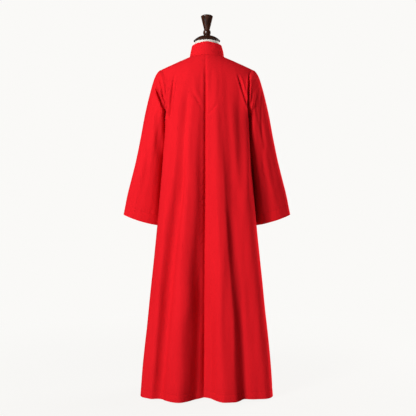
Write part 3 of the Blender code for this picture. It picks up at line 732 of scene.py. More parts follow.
def hem_puckers(first_x, last_x, height, seed):
    """Small upright dents at the stitches of a turned hem."""
    draw = np.random.default_rng(seed)
    rows, x = [], first_x
    while x < last_x:
        start = x, height + draw.uniform(8, 20)
        end = x + draw.uniform(-5, 5), height - draw.uniform(8, 20)
        rows.append((*start, *end, -draw.uniform(0.25, 1.0), draw.uniform(2.5, 5.0)))
        x += draw.uniform(9, 30)
    return rows


def armpit_sink(from_armhole, z, side):
    """How deep the cloth is drawn in along the lower armhole, behind."""
    top = SINK_TOP_LEFT if side > 0 else SINK_TOP_RIGHT
    window = fade_in(z, SINK_FOOT_Z, SINK_FOOT_FADE) * fade_out(z, top, SINK_TOP_FADE)
    return ARMPIT_SINK * bell(from_armhole, ARMPIT_WIDTH) * window


def above_armpit(z):
    """0 at the armpit, 1 from the shoulder blades up."""
    return fade_in(z, BLADE_FOOT_Z, BLADE_FOOT_FADE)


def blade_fill(from_armhole, z):
    """How far the cloth stands out beside the armhole, over the shoulder blades."""
    window = above_armpit(z) * fade_out(z, BLADE_TOP_Z, BLADE_TOP_FADE)
    return BLADE_FILL * bell(from_armhole, BLADE_WIDTH) * window


def panel(name, behind, side, first_x, columns, crease_table, seed, material, under_lap=False):
    """One of the four long panels, with its folds, creases and seams."""
    x, z = panel_grid(behind, side, first_x, *columns)
    valley, groove, drift = rows_at(np.array(SEAM_VALLEY) / 1000, z)
    if behind:
        x = x + drift * smooth_step(1 - np.abs(x - BACK_SEAM_X) / DRIFT_REACH)
    depth = np.maximum(cloth_depth(x, z, behind, under_lap), SEAM / 2)
    facing = 1.0 if behind else -1.0
    outward = np.array([0.0, facing, 0.0])
    pull = bell(x - BACK_SEAM_X, SEAM_PUCKER_WIDTH) * np.exp(-(z - HEM_Z) / SEAM_PUCKER_REACH)
    lift = SEAM_PUCKER * pull if behind else 0.0
    points = np.stack([x, GARMENT_Y + facing * depth, z + lift], axis=-1)
    from_first, from_hem = distances(points)
    to_last = from_first[:, -1:] - from_first
    to_top = from_hem[-1:] - from_hem
    plain_edge = points[SKIRT_ROWS:, -1].copy()
    plain_normals = grid_normals(points, False, outward)[SKIRT_ROWS:, -1]
    points[..., 1] += facing * blade_fill(to_last, z)
    if behind:
        valley_width, groove_width = LEFT_OF_SEAM if side > 0 else RIGHT_OF_SEAM
        sunk = valley * np.exp(-from_first / valley_width) + groove * bell(from_first, groove_width)
        points[..., 1] -= sunk
    normals = grid_normals(points, False, outward)
    low = fade_out(z, RIPPLES_END_Z, RIPPLES_FADE)
    offset = ripples(x, z, FINE_RIPPLES, seed) * (0.5 + 0.5 * low)
    offset += ripples(x, z, BROAD_RIPPLES, seed + 1) * low
    inside = fade_in(to_last, EDGE_PLAIN, EDGE_FADE)
    offset *= inside
    pressed = creases(x, z, crease_table)
    if behind:
        pressed += creases(x, z, ARMHOLE_CREASES)
        inside = inside + (1 - inside) * above_armpit(z)
    offset += pressed * inside
    offset *= fade_in(to_top, 0, TOP_FADE)
    if behind:
        offset -= armpit_sink(to_last, z, side)
    edge_lines = [] if behind else [(from_first, LAP_EDGE)]
    edge_lines += [(to_last, SIDE_ROLL), (to_top, TOP_ROLL), (from_hem - HEM_TURN, HEM_LINE)]
    offset = press_lines(offset, edge_lines)
    straight = bell(np.minimum(from_first, to_last), STRAIGHT_WIDTH)[..., None]
    points = points + offset[..., None] * (normals + straight * (outward - normals))
    normals = grid_normals(points, False, outward)
    thickness = CLOTH * (1 + HEM_THICKER * (from_hem < HEM_TURN))
    maps = {"cloth": (from_first, from_hem), "edges": (to_last, to_top)}
    piece = cloth_piece(name, points, normals, thickness, maps, material)
    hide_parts(name.replace("cloth_", ""))
    return piece, plain_edge, plain_normals


BACK_COLUMNS = (22, 46)
HEM_STITCHES = -280, 280, (HEM_Z + HEM_TURN) * 1000  # from x to x at this height, in millimetres
back_creases = list(BACK_CREASES) + seam_puckers(11) + hem_puckers(*HEM_STITCHES, 21)
panel_edges = {}
for name, side in (("back_left", 1), ("back_right", -1)):
    first_x = BACK_SEAM_X + side * SEAM / 2
    piece, edge, edge_normals = panel(
        "cloth_" + name, True, side, first_x, BACK_COLUMNS, back_creases, 5, back_wool
    )
    panel_edges[name] = edge, edge_normals

# The fronts
# Two panels of the same twill. The left laps over the right and carries the row of
# buttons; its edge is faced and stitched, and a worked buttonhole lies behind each button.
BUTTON_TOP_Z, BUTTON_PITCH, BUTTON_COUNT = 1.340, 0.077, 13
FRONT_COLUMNS = (24, 38)
FRONT_CREASES = (
    (112, 1330, 128, 850, -2.6, 12),
    (-108, 1320, -124, 830, -2.8, 12),
    (60, 1300, 76, 900, -1.6, 9),
    (-62, 1310, -74, 930, -1.8, 9),
    (168, 1340, 166, 1216, -3.2, 6),
    (-170, 1345, -165, 1214, -3.4, 6),
    (140, 1330, 160, 1248, -2.0, 6),
    (-138, 1335, -162, 1250, -2.2, 6),
    (30, 1385, 60, 1300, -1.2, 6),
    (-32, 1385, -58, 1290, -1.2, 6),
)


def lap_puckers(seed):
    """Slight drag lines that each button draws into the lap."""
    draw = np.random.default_rng(seed)
    rows = []
    for number in range(BUTTON_COUNT):
        height = (BUTTON_TOP_Z - number * BUTTON_PITCH) * 1000
        for side in (1, -1):
            start = side * 5, height - 2
            end = side * draw.uniform(26, 44), height - draw.uniform(10, 26)
            rows.append((*start, *end, -draw.uniform(0.5, 1.1), draw.uniform(3.0, 5.0)))
    return rows


# Worked buttonholes: a slot with a dense row of stitches all round it, behind each button
HOLE_FROM_EDGE, HOLE_TO_EDGE, HOLE_END = 0.0165, 0.0375, 0.0016
HOLE_STITCH, HOLE_STITCH_EDGE, SLOT_HALF, SLOT_EDGE = 0.0014, 0.0018, 0.0002, 0.0005
PURL_PITCH, PURL_RISE, HOLE_RISE, SLOT_DEPTH = 0.0006, 0.6, 2.4, 4.0
HOLE_RED, HOLE_SHARE, SLOT_DARK = (0.30, 0.0015, 0.005, 1.0), 0.85, (0.08, 0.0004, 0.0012, 1.0)


def buttonholes(cloth, colour, height):
    """Works the buttonholes into the twill's colour and height."""
    x, y, _ = axes(cloth)
    lowest = BUTTON_TOP_Z - HEM_Z - (BUTTON_COUNT - 1) * BUTTON_PITCH
    turns = (y - (lowest - BUTTON_PITCH / 2)) / BUTTON_PITCH
    from_slot = (turns.worked("FRACT") - 0.5).worked("ABSOLUTE") * BUTTON_PITCH
    in_rows = turns.worked("GREATER_THAN", 0.0) * turns.worked("LESS_THAN", BUTTON_COUNT)
    past_end = (x - (HOLE_FROM_EDGE + HOLE_TO_EDGE) / 2).worked("ABSOLUTE")
    past_end = past_end - ((HOLE_TO_EDGE - HOLE_FROM_EDGE) / 2 - HOLE_END)
    beyond = past_end.worked("MAXIMUM", 0.0)
    reach = (beyond * beyond + from_slot * from_slot).worked("SQRT")
    worked = ranged(reach, HOLE_STITCH, HOLE_STITCH_EDGE, 1.0, 0.0) * in_rows
    slot = ranged(reach, SLOT_HALF, SLOT_EDGE, 1.0, 0.0) * in_rows
    colour = blend(slot, blend(worked * HOLE_SHARE, colour, HOLE_RED), SLOT_DARK)
    purls = wave(x, PURL_PITCH) * PURL_RISE + HOLE_RISE
    return colour, height + (worked * purls - slot * SLOT_DEPTH)


EDGE_STITCH, FACING_STITCH = 0.006, 0.034
front_rows = [("cloth", "Y", HEM_TURN, STITCH)]
front_rows += [("cloth", "X", from_edge, STITCH) for from_edge in (EDGE_STITCH, FACING_STITCH)]
under_wool = wool("red_wool_under_front", front_rows)
lap_wool = wool("red_wool_lap", front_rows, buttonholes)

front_creases = list(FRONT_CREASES) + lap_puckers(31) + hem_puckers(*HEM_STITCHES, 41)
for name, side, finish in (("front_left", 1, lap_wool), ("front_right", -1, under_wool)):
    piece, edge, edge_normals = panel(
        "cloth_" + name, False, side, -side * LAP, FRONT_COLUMNS, front_creases, 8, finish, side < 0
    )
    panel_edges[name] = edge, edge_normals

# The buttons
# Thirteen button moulds covered with the twill, which is gathered under the rim and drawn
# smooth over the dome. Each is sewn on through the lap and sits square to the cloth.
BUTTON_RADIUS, BUTTON_THICKNESS, BUTTON_REST = 0.0080, 0.0045, 0.00035
COVER_MIDDLE = 0.01  # where on the twill each cover's middle is
SLOPE_STEP = 0.002  # the cloth's slope is taken over this far above and below a button
BUTTON_SHAPE = (  # from the flat back to the top of the dome, as shares of radius and thickness
    (0.80, 0.00), (0.91, 0.03), (0.98, 0.12), (1.00, 0.24), (0.985, 0.36), (0.945, 0.48),
    (0.88, 0.59), (0.78, 0.71), (0.66, 0.81), (0.52, 0.90), (0.35, 0.96), (0.18, 0.99), (0.05, 1.00),
)


def turned_piece(name, place, shape, segments, crease_angle):
    """A solid turned by extruding and resizing a circle along rows of (radius, height)."""
    bpy.ops.object.select_all(action="DESELECT")
    first_radius, first_height = shape[0]
    bpy.ops.mesh.primitive_circle_add(
        vertices=segments, radius=first_radius, fill_type="NGON",
        location=(place[0], place[1], place[2] + first_height),
    )
    made = bpy.context.active_object
    made.name = name
    bpy.ops.object.mode_set(mode="EDIT")
    bpy.ops.mesh.select_all(action="SELECT")
    for (radius, height), (next_radius, next_height) in zip(shape, shape[1:]):
        bpy.ops.mesh.extrude_region_move(TRANSFORM_OT_translate={"value": (0, 0, next_height - height)})
        grow = next_radius / radius
        bpy.ops.transform.resize(value=(grow, grow, 1))
    bpy.ops.mesh.select_all(action="SELECT")
    bpy.ops.mesh.normals_make_consistent(inside=False)
    bpy.ops.object.mode_set(mode="OBJECT")
    bpy.ops.object.transform_apply(location=True, rotation=True, scale=True)
    bpy.ops.object.shade_smooth_by_angle(angle=math.radians(crease_angle))
    return made


button_wool = wool("red_covered_button", [])
shape = [(radius * BUTTON_RADIUS, height * BUTTON_THICKNESS) for radius, height in BUTTON_SHAPE]
pattern = turned_piece("button_pattern", (0, 0, 0), shape, segments=40, crease_angle=60)
corners = np.array([pattern.data.vertices[loop.vertex_index].co for loop in pattern.data.loops])
if pattern.data.uv_layers:
    pattern.data.uv_layers.remove(pattern.data.uv_layers[0])
drawn_map = pattern.data.uv_layers.new(name="cloth")
drawn_map.data.foreach_set("uv", (corners[:, :2] + COVER_MIDDLE).astype(np.float32).ravel())
for number in range(BUTTON_COUNT):
    height = BUTTON_TOP_Z - number * BUTTON_PITCH
    above, below, centre = (
        float(cloth_depth(np.array(0.0), np.array(height + step), False))
        for step in (SLOPE_STEP, -SLOPE_STEP, 0.0)
    )
    facing = Vector((0, -1, (below - above) / (2 * SLOPE_STEP))).normalized()
    spot = Vector((0, GARMENT_Y - centre, height)) + facing * BUTTON_REST
    button = pattern.copy()
    button.data = pattern.data.copy()
    button.name = f"covered_button_{number + 1:02d}"
    turn = facing.to_track_quat("Z", "Y").to_matrix().to_4x4()
    button.data.transform(Matrix.Translation(spot) @ turn)
    button.data.materials.append(button_wool)
    bpy.context.scene.collection.objects.link(button)
    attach(button, "root")
    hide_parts(f"button_{number + 1:02d}")
bpy.data.objects.remove(pattern, do_unlink=True)

# The sleeves
# Two wide straight sleeves of one piece each, set into the armholes with a pressed seam
# and widening to an open cuff, whose hem is turned up and stitched 45 mm from the edge.
CUFF_TURN = 0.045
SLEEVE = (  # x and z on the inner side, x and z on the outer, half depth, y, bow, droop
    (0.1840, 1.1730, 0.2075, 1.3845, 0.0635, 0.000, -0.0070, 0.000),
    (0.1840, 1.1710, 0.2165, 1.3735, 0.0625, -0.002, -0.0050, 0.000),
    (0.1830, 1.1610, 0.2242, 1.3595, 0.0615, -0.006, -0.0030, 0.000),
    (0.1820, 1.1380, 0.2341, 1.3334, 0.0610, -0.012, -0.0010, 0.000),
    (0.1825, 1.1030, 0.2482, 1.2853, 0.0610, -0.019, 0.0000, 0.000),
    (0.1865, 1.0480, 0.2687, 1.2025, 0.0605, -0.028, 0.0000, 0.000),
    (0.1915, 0.9680, 0.2883, 1.1024, 0.0590, -0.037, 0.0000, 0.000),
    (0.1965, 0.8880, 0.3107, 0.9991, 0.0565, -0.046, 0.0000, 0.000),
    (0.2010, 0.8080, 0.3338, 0.9115, 0.0530, -0.055, 0.0000, 0.002),
    (0.2030, 0.7565, 0.3499, 0.8500, 0.0500, -0.061, 0.0000, 0.005),
    (0.2045, 0.7200, 0.3664, 0.7680, 0.0470, -0.065, 0.0000, 0.006),
)
SLEEVE_ROWS = 170
INNER_SIDE = 0.28  # the share of the ring, from its inner side, that lies along the body
BODY_SIDE_TOP_Z, BODY_SIDE_TOP_FADE, BODY_SIDE_FOOT_Z, BODY_SIDE_FOOT_FADE = 1.177, 0.008, 1.02, 0.06
BODY_SIDE_GAP = 0.0003
HALF_FADE, CREASE_HALF_FADE = 0.30, 0.35  # how the back and front halves run into each other
SLEEVE_HEAD_Z, SLEEVE_HEAD_FADE = 1.392, 0.030
CREASE_RUN_ON = 0.020  # how far the backs' creases run on into a sleeve
SLEEVE_RIPPLES = 0.0006, (0.030, 0.070), (0.4, 1.0)
CUFF_LINE = 0.0008, 0.0025  # depth, width
CUFF_STITCHES = 215, 345, 782  # from x to x at this height, in millimetres
# Creases of each sleeve: half (1 behind, -1 in front), then as for the backs
LEFT_SLEEVE_CREASES = (
    (1, 188, 1280, 190, 960, 5.0, 10),
    (1, 246, 1190, 272, 840, -3.0, 13),
    (1, 222, 1240, 232, 1010, 1.6, 12),
    (1, 262, 792, 226, 776, -0.9, 5),
    (-1, 214, 1300, 194, 1206, -3.0, 6),
    (-1, 250, 1180, 268, 850, -2.6, 13),
)
RIGHT_SLEEVE_CREASES = (
    (1, 190, 1290, 197, 960, 6.5, 15),
    (1, 227, 1335, 242, 1060, -2.4, 6.0),
    (1, 202, 1190, 242, 650, 8.5, 17),
    (1, 240, 1200, 246, 1010, -2.0, 9),
    (1, 232, 1000, 252, 960, -1.3, 5),
    (1, 236, 975, 256, 925, -1.2, 5),
    (1, 262, 1130, 286, 860, -1.8, 12),
    (-1, 216, 1310, 192, 1222, -3.2, 6),
    (-1, 240, 1260, 258, 940, -2.8, 12),
)


def sleeve_rows(side, back_edge, front_edge):
    """Rings of the sleeve's outer points, from the armhole's edge to the cuff."""
    hole = np.concatenate([back_edge[0], front_edge[0][-2:0:-1]])
    hole_out = np.concatenate([back_edge[1], front_edge[1][-2:0:-1]])
    count = len(hole)
    turn = math.pi - 2 * math.pi * np.arange(count) / count
    hole[0, 1] = hole[ARMHOLE_ROWS, 1] = GARMENT_Y
    outward = hole - hole.mean(axis=0)
    outward -= hole_out * (outward * hole_out).sum(axis=1, keepdims=True)
    outward /= np.linalg.norm(outward, axis=1, keepdims=True)
    rings = [hole - SEAM * outward]
    for x_in, z_in, x_out, z_out, half_depth, y, bow, droop in SLEEVE:
        middle = np.array([(x_in + x_out) / 2, y, (z_in + z_out) / 2])
        reach = np.array([(x_out - x_in) / 2, 0.0, (z_out - z_in) / 2])
        bowed = np.abs(np.sin(turn)) ** 2
        ring = middle + np.cos(turn)[:, None] * reach
        ring[:, 0] += bow * bowed
        ring[:, 1] += half_depth * np.sin(turn) + GARMENT_Y
        ring[:, 2] -= droop * bowed
        rings.append(ring * (side, 1, 1))
    rings = np.array(rings)
    steps = np.linalg.norm(np.diff(rings, axis=0), axis=2).mean(axis=1)
    knots = np.concatenate([[0.0], np.cumsum(steps)])
    beside = np.array(BESIDE_SEAM)
    wanted = np.concatenate([beside, np.linspace(EVEN_FROM, knots[-1], SLEEVE_ROWS)])
    table = np.column_stack([knots, rings.reshape(len(rings), -1)])
    return rows_at(table, wanted).T.reshape(len(wanted), count, 3), turn


sleeve_wool = wool("red_wool_sleeves", [("cloth", "Y", CUFF_TURN, STITCH)])
for name, side, back, front, crease_table, seed in (
    ("sleeve_left", 1, "back_left", "front_left", LEFT_SLEEVE_CREASES, 51),
    ("sleeve_right", -1, "back_right", "front_right", RIGHT_SLEEVE_CREASES, 61),
):
    points, turn = sleeve_rows(side, panel_edges[back], panel_edges[front])
    z = points[..., 2]
    inner_side = fade_in(-np.cos(turn)[None], 1 - INNER_SIDE, INNER_SIDE)
    beside_body = fade_out(z, BODY_SIDE_TOP_Z, BODY_SIDE_TOP_FADE)
    beside_body = beside_body * fade_in(z, BODY_SIDE_FOOT_Z, BODY_SIDE_FOOT_FADE)
    body_side = rows_at(BODY, z)[0] + BODY_SIDE_GAP
    points[..., 0] -= side * (np.abs(points[..., 0]) - body_side) * inner_side * beside_body
    centre = points.mean(axis=1, keepdims=True)
    wrapped = np.concatenate([points, points[:, :1]], axis=1)
    around, down = distances(wrapped)
    from_cuff = down[-1:] - down
    from_armhole, to_cuff = down[:, :-1], from_cuff[:, :-1]
    x = np.abs(points[..., 0])
    up_the_back = fade_in(np.sin(turn), 0, HALF_FADE)[None]
    facing = up_the_back - fade_in(-np.sin(turn), 0, HALF_FADE)[None]
    above = above_armpit(z) * fade_out(z, SLEEVE_HEAD_Z, SLEEVE_HEAD_FADE) * up_the_back
    points[..., 1] += facing * blade_fill(from_armhole, z)
    normals = grid_normals(points, True, points - centre)
    offset = np.zeros(x.shape)
    for half in (1, -1):
        rows = [row[1:] for row in crease_table if row[0] == half]
        rows += hem_puckers(*CUFF_STITCHES, seed + half)
        offset += creases(x, z, rows) * fade_in(half * np.sin(turn), 0, CREASE_HALF_FADE)[None]
    rippled = ripples(around[:, :-1], from_armhole, SLEEVE_RIPPLES, seed)
    offset += rippled * np.sin(turn)[None] ** 2
    beyond = fade_in(from_armhole, 0, TOP_FADE)
    offset *= beyond
    folded = creases(points[..., 0], z, ARMHOLE_CREASES) * (beyond + (1 - beyond) * above) * up_the_back
    offset += creases(points[..., 0], z, BACK_CREASES) * bell(from_armhole, CREASE_RUN_ON) * above
    offset -= armpit_sink(from_armhole, z, side) * up_the_back
    offset = press_lines(offset, [(from_armhole, SIDE_ROLL), (to_cuff - CUFF_TURN, CUFF_LINE)])
    straight = (bell(from_armhole, STRAIGHT_WIDTH) * np.abs(facing))[..., None]
    push = normals * (1 - straight)
    push[..., 1] += straight[..., 0] * np.sign(facing)
    points = points + offset[..., None] * push
    points[..., 1] += folded
    normals = grid_normals(points, True, points - centre)
    thickness = CLOTH * (1 + HEM_THICKER * (to_cuff < CUFF_TURN))
    maps = {"cloth": (around, from_cuff), "edges": (around, down)}
    piece = cloth_piece("cloth_" + name, points, normals, thickness, maps, sleeve_wool, closed=True)
    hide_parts(name)

# The collar
# A stand collar of two layers of the twill over a firm interlining, pressed flat, sewn to
# the neckline and topstitched 9 mm below its edge. Its ends meet at the centre front.
COLLAR_TOP_X = 0.0637
COLLAR_TOP_BACK, COLLAR_TOP_FRONT = 0.0505, 0.074
COLLAR_HEIGHT_BACK, COLLAR_HEIGHT_FRONT = 0.055, 0.046
COLLAR_DROP, COLLAR_GAP, COLLAR_WALL = 0.0004, 0.0005, 0.0019
COLLAR_COLUMNS, COLLAR_ROWS = 180, 26
COLLAR_FOOT_ROWS, COLLAR_EDGE_ROWS = (0.0, 0.015, 0.04), (0.965, 0.985, 1.0)
TOPSTITCH, NECK_STITCH, SHORT_STITCH = 0.009, 0.004, 0.0026
COLLAR_RIPPLES = 0.00045, (0.030, 0.080), (0.05, 0.16)
COLLAR_CROWN, COLLAR_PROUD = 0.0006, 0.0004
# Lines pressed along it: depth and width
EDGE_ROUND, FOOT_SET_IN, STITCH_LINE = (0.0008, 0.0011), (0.0005, 0.0012), (0.00035, 0.0016)

from_front = np.linspace(math.asin(COLLAR_GAP / NECK_X), math.pi, COLLAR_COLUMNS // 2 + 1)
angles = np.concatenate([-from_front, from_front[-2::-1]])
x = NECK_X * np.sin(angles)
towards_back = -np.cos(angles)
in_front = towards_back < 0
base_z = np.where(in_front, top_height(x, False), top_height(x, True))
base_y = np.where(in_front, NECK_FRONT, NECK_BACK) * towards_back
top_y = np.where(in_front, COLLAR_TOP_FRONT, COLLAR_TOP_BACK) * towards_back
lean = (1 + towards_back) / 2
height = COLLAR_HEIGHT_FRONT + (COLLAR_HEIGHT_BACK - COLLAR_HEIGHT_FRONT) * lean**2
base = np.stack([x, GARMENT_Y + base_y, base_z - COLLAR_DROP], axis=1)
top = np.stack([COLLAR_TOP_X / NECK_X * x, GARMENT_Y + top_y, base_z + height], axis=1)
share = np.concatenate([COLLAR_FOOT_ROWS, np.linspace(0.08, 0.93, COLLAR_ROWS), COLLAR_EDGE_ROWS])
points = base + (top - base) * share[:, None, None]
outward = points - np.array([0.0, GARMENT_Y, 0.0])
outward[..., 2] = 0
normals = grid_normals(points, False, outward)
around, up = distances(points)
to_top = up[-1:] - up
offset = ripples(around, up, COLLAR_RIPPLES, 71)
offset += COLLAR_CROWN * np.sin(math.pi * share)[:, None]
edge_lines = [(to_top, EDGE_ROUND), (up, FOOT_SET_IN), (to_top - TOPSTITCH, STITCH_LINE)]
offset = press_lines(offset, edge_lines)
points = points + (offset + COLLAR_PROUD)[..., None] * normals
collar_wool = wool("red_wool_collar", [
    ("edges", "Y", TOPSTITCH, SHORT_STITCH), ("cloth", "Y", NECK_STITCH, SHORT_STITCH)
])
maps = {"cloth": (around, up), "edges": (around, to_top)}
thickness = np.full(offset.shape, COLLAR_WALL)
collar = cloth_piece("cloth_collar", points, normals, thickness, maps, collar_wool)
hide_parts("collar")

# The dress form
# A padded trunk without limbs, covered in cream cotton jersey cut in panels and sewn tight
# over the wadding, with a round neck. The cassock's shoulders rest on it.
FORM_REST, FORM_SLACK, FORM_NARROWING = 0.0006, 0.0095, 0.60
FORM_ARM_X = 0.175
FORM = (  # height, half width, depth behind, depth in front
    (0.770, 0.149, 0.087, 0.089),
    (0.860, 0.149, 0.087, 0.087),
    (0.970, 0.139, 0.082, 0.082),
    (1.070, 0.153, 0.090, 0.095),
)
FORM_QUARTER_COLUMNS, FORM_LOW_ROWS, FORM_HIGH_ROWS = 24, 40, 30
FORM_SQUARE, FORM_SPACING = 2.4, 0.8  # how square its rings are, and how their points bunch
FOOT_ROUND, FOOT_HALF, FOOT_EDGE_ROWS = 0.006, 0.12, 7
FOOT_SHARES, FOOT_TO_ROWS = (0.02, 0.35, 0.70, 0.90), 0.012
WELD, FORM_SHARP = 0.00005, 60
SPINE_HOLLOW, SPINE_WIDTH = 0.010, 0.030  # the back dips a little along the spine
SPINE_SHARE = 0.7  # and by no more than this share of its depth
SPINE_FOOT_Z, SPINE_FOOT_FADE, SPINE_TOP_Z, SPINE_TOP_FADE = 0.64, 0.14, 1.40, 0.12
SHOULDER_REST = (CLOTH + FORM_REST) * math.hypot(1, SHOULDER_SLOPE)
at_arm = rows_at(BODY, np.array(UNDERARM_Z))
FORM_AT_ARM = (UNDERARM_Z, FORM_ARM_X, float(at_arm[1]) - FORM_SLACK, float(at_arm[2]) - FORM_SLACK)


def form_ring(level, rise):
    """One ring round the trunk, from the centre back by the wearer's left."""
    shares = np.sin(np.linspace(0, math.pi / 2, FORM_QUARTER_COLUMNS + 1)) ** FORM_SPACING
    round_out = (1 - shares**FORM_SQUARE) ** (1 / FORM_SQUARE)
    quarters = []
    for behind in (True, False):
        if level < UNDERARM_Z:
            half_width, back, front = rows_at(FORM + (FORM_AT_ARM,), np.array(level))
            x = half_width * shares
            z = np.full_like(x, level)
            depth = (back if behind else front) * round_out
        else:
            x = FORM_ARM_X * shares
            climb = math.sin(math.pi * rise / 2)
            z = UNDERARM_Z + (ridge_height(x) - SHOULDER_REST - UNDERARM_Z) * climb
            back, front = rows_at(BODY, z)[1:3]
            power = CLIMB_BEHIND if behind else CLIMB_IN_FRONT
            over = (1 - climb**power) ** (1 / power) * (1 - FORM_NARROWING * rise**2)
            depth = ((back if behind else front) - FORM_SLACK) * round_out * over
        if behind:
            spine = fade_in(z, SPINE_FOOT_Z, SPINE_FOOT_FADE) * fade_out(z, SPINE_TOP_Z, SPINE_TOP_FADE)
            depth = depth - np.minimum(SPINE_HOLLOW * spine * bell(x, SPINE_WIDTH), SPINE_SHARE * depth)
        quarters.append(np.stack([x, GARMENT_Y + (depth if behind else -depth), z], axis=1))
    half = np.concatenate([quarters[0], quarters[1][-2::-1]])
    return np.concatenate([half, half[-2:0:-1] * (-1, 1, 1)])


foot_z = FORM[0][0]
foot = form_ring(foot_z, 0.0)
middle = np.array([0.0, GARMENT_Y, 0.0])
rings = [middle + (foot - middle) * (share, share, 1) for share in FOOT_SHARES]
for turn in np.linspace(0, math.pi / 2, FOOT_EDGE_ROWS):
    share = 1 - FOOT_ROUND * (1 - math.sin(turn)) / FOOT_HALF
    raised = FOOT_ROUND * (1 - math.cos(turn))
    rings.append(middle + (foot - middle) * (share, share, 1) + (0, 0, raised))
low_levels = np.linspace(foot_z + FOOT_TO_ROWS, UNDERARM_Z, FORM_LOW_ROWS)[:-1]
rings += [form_ring(level, 0.0) for level in low_levels]
rings += [form_ring(UNDERARM_Z, i / FORM_HIGH_ROWS) for i in range(FORM_HIGH_ROWS + 1)]
rings = np.array(rings)
count = rings.shape[1]
trunk_mesh = bpy.data.meshes.new("form_trunk")
i, j = (part.ravel() for part in np.indices((len(rings) - 1, count)))
k = (j + 1) % count
quads = np.stack([i * count + j, (i + 1) * count + j, (i + 1) * count + k, i * count + k], axis=1)
trunk_mesh.from_pydata(rings.reshape(-1, 3).tolist(), [], quads.tolist() + [list(range(count))])
bm = bmesh.new()
bm.from_mesh(trunk_mesh)
bmesh.ops.remove_doubles(bm, verts=bm.verts, dist=WELD)
bmesh.ops.recalc_face_normals(bm, faces=bm.faces)
bm.to_mesh(trunk_mesh)
bm.free()
trunk_mesh.shade_smooth()
trunk_mesh.set_sharp_from_angle(angle=math.radians(FORM_SHARP))

# Jersey: fine knitted ribs up the body, loops across them, slow yellowing, and panel seams
CREAM, AGED_CREAM = (0.60, 0.575, 0.53, 1.0), (0.53, 0.49, 0.43, 1.0)
JERSEY_SEAM = (0.30, 0.26, 0.21, 1.0)
RIBS_ROUND, LOOP_PITCH, JERSEY_PANEL = 900.0, 0.0011, math.pi / 4
KNIT_RISE, FLUFF_RISE, JERSEY_SEAM_DEPTH = 0.25, 0.8, 3.0
SEAM_LINE_FROM, SEAM_LINE_TO = 0.488, 0.498  # shares of a panel, from its middle
JERSEY_SEAM_SHARE = 0.35
JERSEY_BUMPS = 0.5, 0.0004  # strength, distance
jersey, tree, shader = new_finish(
    "cream_jersey", {"Specular IOR Level": 0.15, "Sheen Weight": 0.12, "Sheen Roughness": 0.5}
)
here = own_place(tree)
x, y, z = axes(here)
off_axis = (y - GARMENT_Y).worked("ARCTAN2", x)
knit = ((off_axis * RIBS_ROUND).worked("SINE") + wave(z, LOOP_PITCH)) * KNIT_RISE
fluff = noise(here, (900.0, 900.0, 900.0), 3.0, 0.7)
age = noise(here, (7.0, 7.0, 5.0), 4.0, 0.6)
seam_turn = ((off_axis / JERSEY_PANEL).worked("FRACT") - 0.5).worked("ABSOLUTE")
seam_line = ranged(seam_turn, SEAM_LINE_FROM, SEAM_LINE_TO)
cream = blend(ranged(age, 0.35, 0.75), CREAM, AGED_CREAM)
feed(shader, {
    "Base Color": blend(seam_line * JERSEY_SEAM_SHARE, cream, JERSEY_SEAM),
    "Roughness": ranged(fluff, 0.3, 0.7, 0.78, 0.92),
})
add_bumps(shader, knit + fluff * FLUFF_RISE - seam_line * JERSEY_SEAM_DEPTH, *JERSEY_BUMPS)

trunk = bpy.data.objects.new("form_trunk", trunk_mesh)
bpy.context.scene.collection.objects.link(trunk)
trunk_mesh.materials.append(jersey)
NECK_RADIUS, NECK_SHIFT = 0.0530, -0.008
NECK_FOOT_Z, NECK_TOP_Z = 1.382, 1.5130
NECK_Y = GARMENT_Y + NECK_SHIFT
NECK_ROUND = ((0.0, 0.004), (0.0006, 0.0018), (0.0018, 0.0005), (0.0034, 0.0))  # in, below the top
neck_height = NECK_TOP_Z - NECK_FOOT_Z
neck_shape = [(NECK_RADIUS - 0.0004, 0.0), (NECK_RADIUS, 0.02)]
neck_shape += [(NECK_RADIUS - inward, neck_height - below) for inward, below in NECK_ROUND]
neck_shape += [(0.030, neck_height), (0.004, neck_height)]
neck = turned_piece("form_neck", (0, NECK_Y, NECK_FOOT_Z), neck_shape, segments=96, crease_angle=60)
neck.data.materials.append(jersey)
for piece in (trunk, neck):
    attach(piece, "root")
    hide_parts("form_torso")

# The neck cap and its finial
# A shallow domed cap and a finial, turned in walnut, stained dark and polished. The cap
# covers the top of the neck, and the finial is screwed into it.
CAP_TOP_Z, FINIAL_TOP_Z = 1.540, 1.6305
CAP_FOOT_Z, FINIAL_FOOT_Z = NECK_TOP_Z + 0.0003, CAP_TOP_Z + 0.0003
CAP_RIM = ((0.0530, 0.0), (0.0545, 0.0006), (0.0560, 0.0018))  # radius, above the foot
CAP_DOME = (  # radius, below the top
    (0.0570, 0.0240), (0.0575, 0.0230), (0.0570, 0.0218), (0.0550, 0.0205), (0.0528, 0.0180),
    (0.0500, 0.0155), (0.0455, 0.0120), (0.0400, 0.0085), (0.0335, 0.0052), (0.0260, 0.0025),
    (0.0195, 0.0009), (0.0130, 0.0), (0.0020, 0.0),
)
FINIAL_STEM = 0.0100
FINIAL_TURNING = (  # radius, below the top: a bead, a waist, a flared cup and its rounded rim
    (0.0114, 0.0890), (0.0128, 0.0875), (0.0143, 0.0854), (0.0154, 0.0830), (0.0162, 0.0803),
    (0.0165, 0.0775), (0.0164, 0.0746), (0.0160, 0.0720), (0.0151, 0.0696), (0.0138, 0.0675),
    (0.0124, 0.0665), (0.0114, 0.0658), (0.0118, 0.0642), (0.0124, 0.0630), (0.0132, 0.0600),
    (0.0158, 0.0492), (0.0185, 0.0380), (0.0216, 0.0252), (0.0246, 0.0120), (0.0254, 0.0102),
    (0.0258, 0.0085), (0.0256, 0.0071), (0.0250, 0.0060), (0.0232, 0.0044), (0.0205, 0.0030),
    (0.0165, 0.0017), (0.0120, 0.0008), (0.0060, 0.0002), (0.0015, 0.0),
)
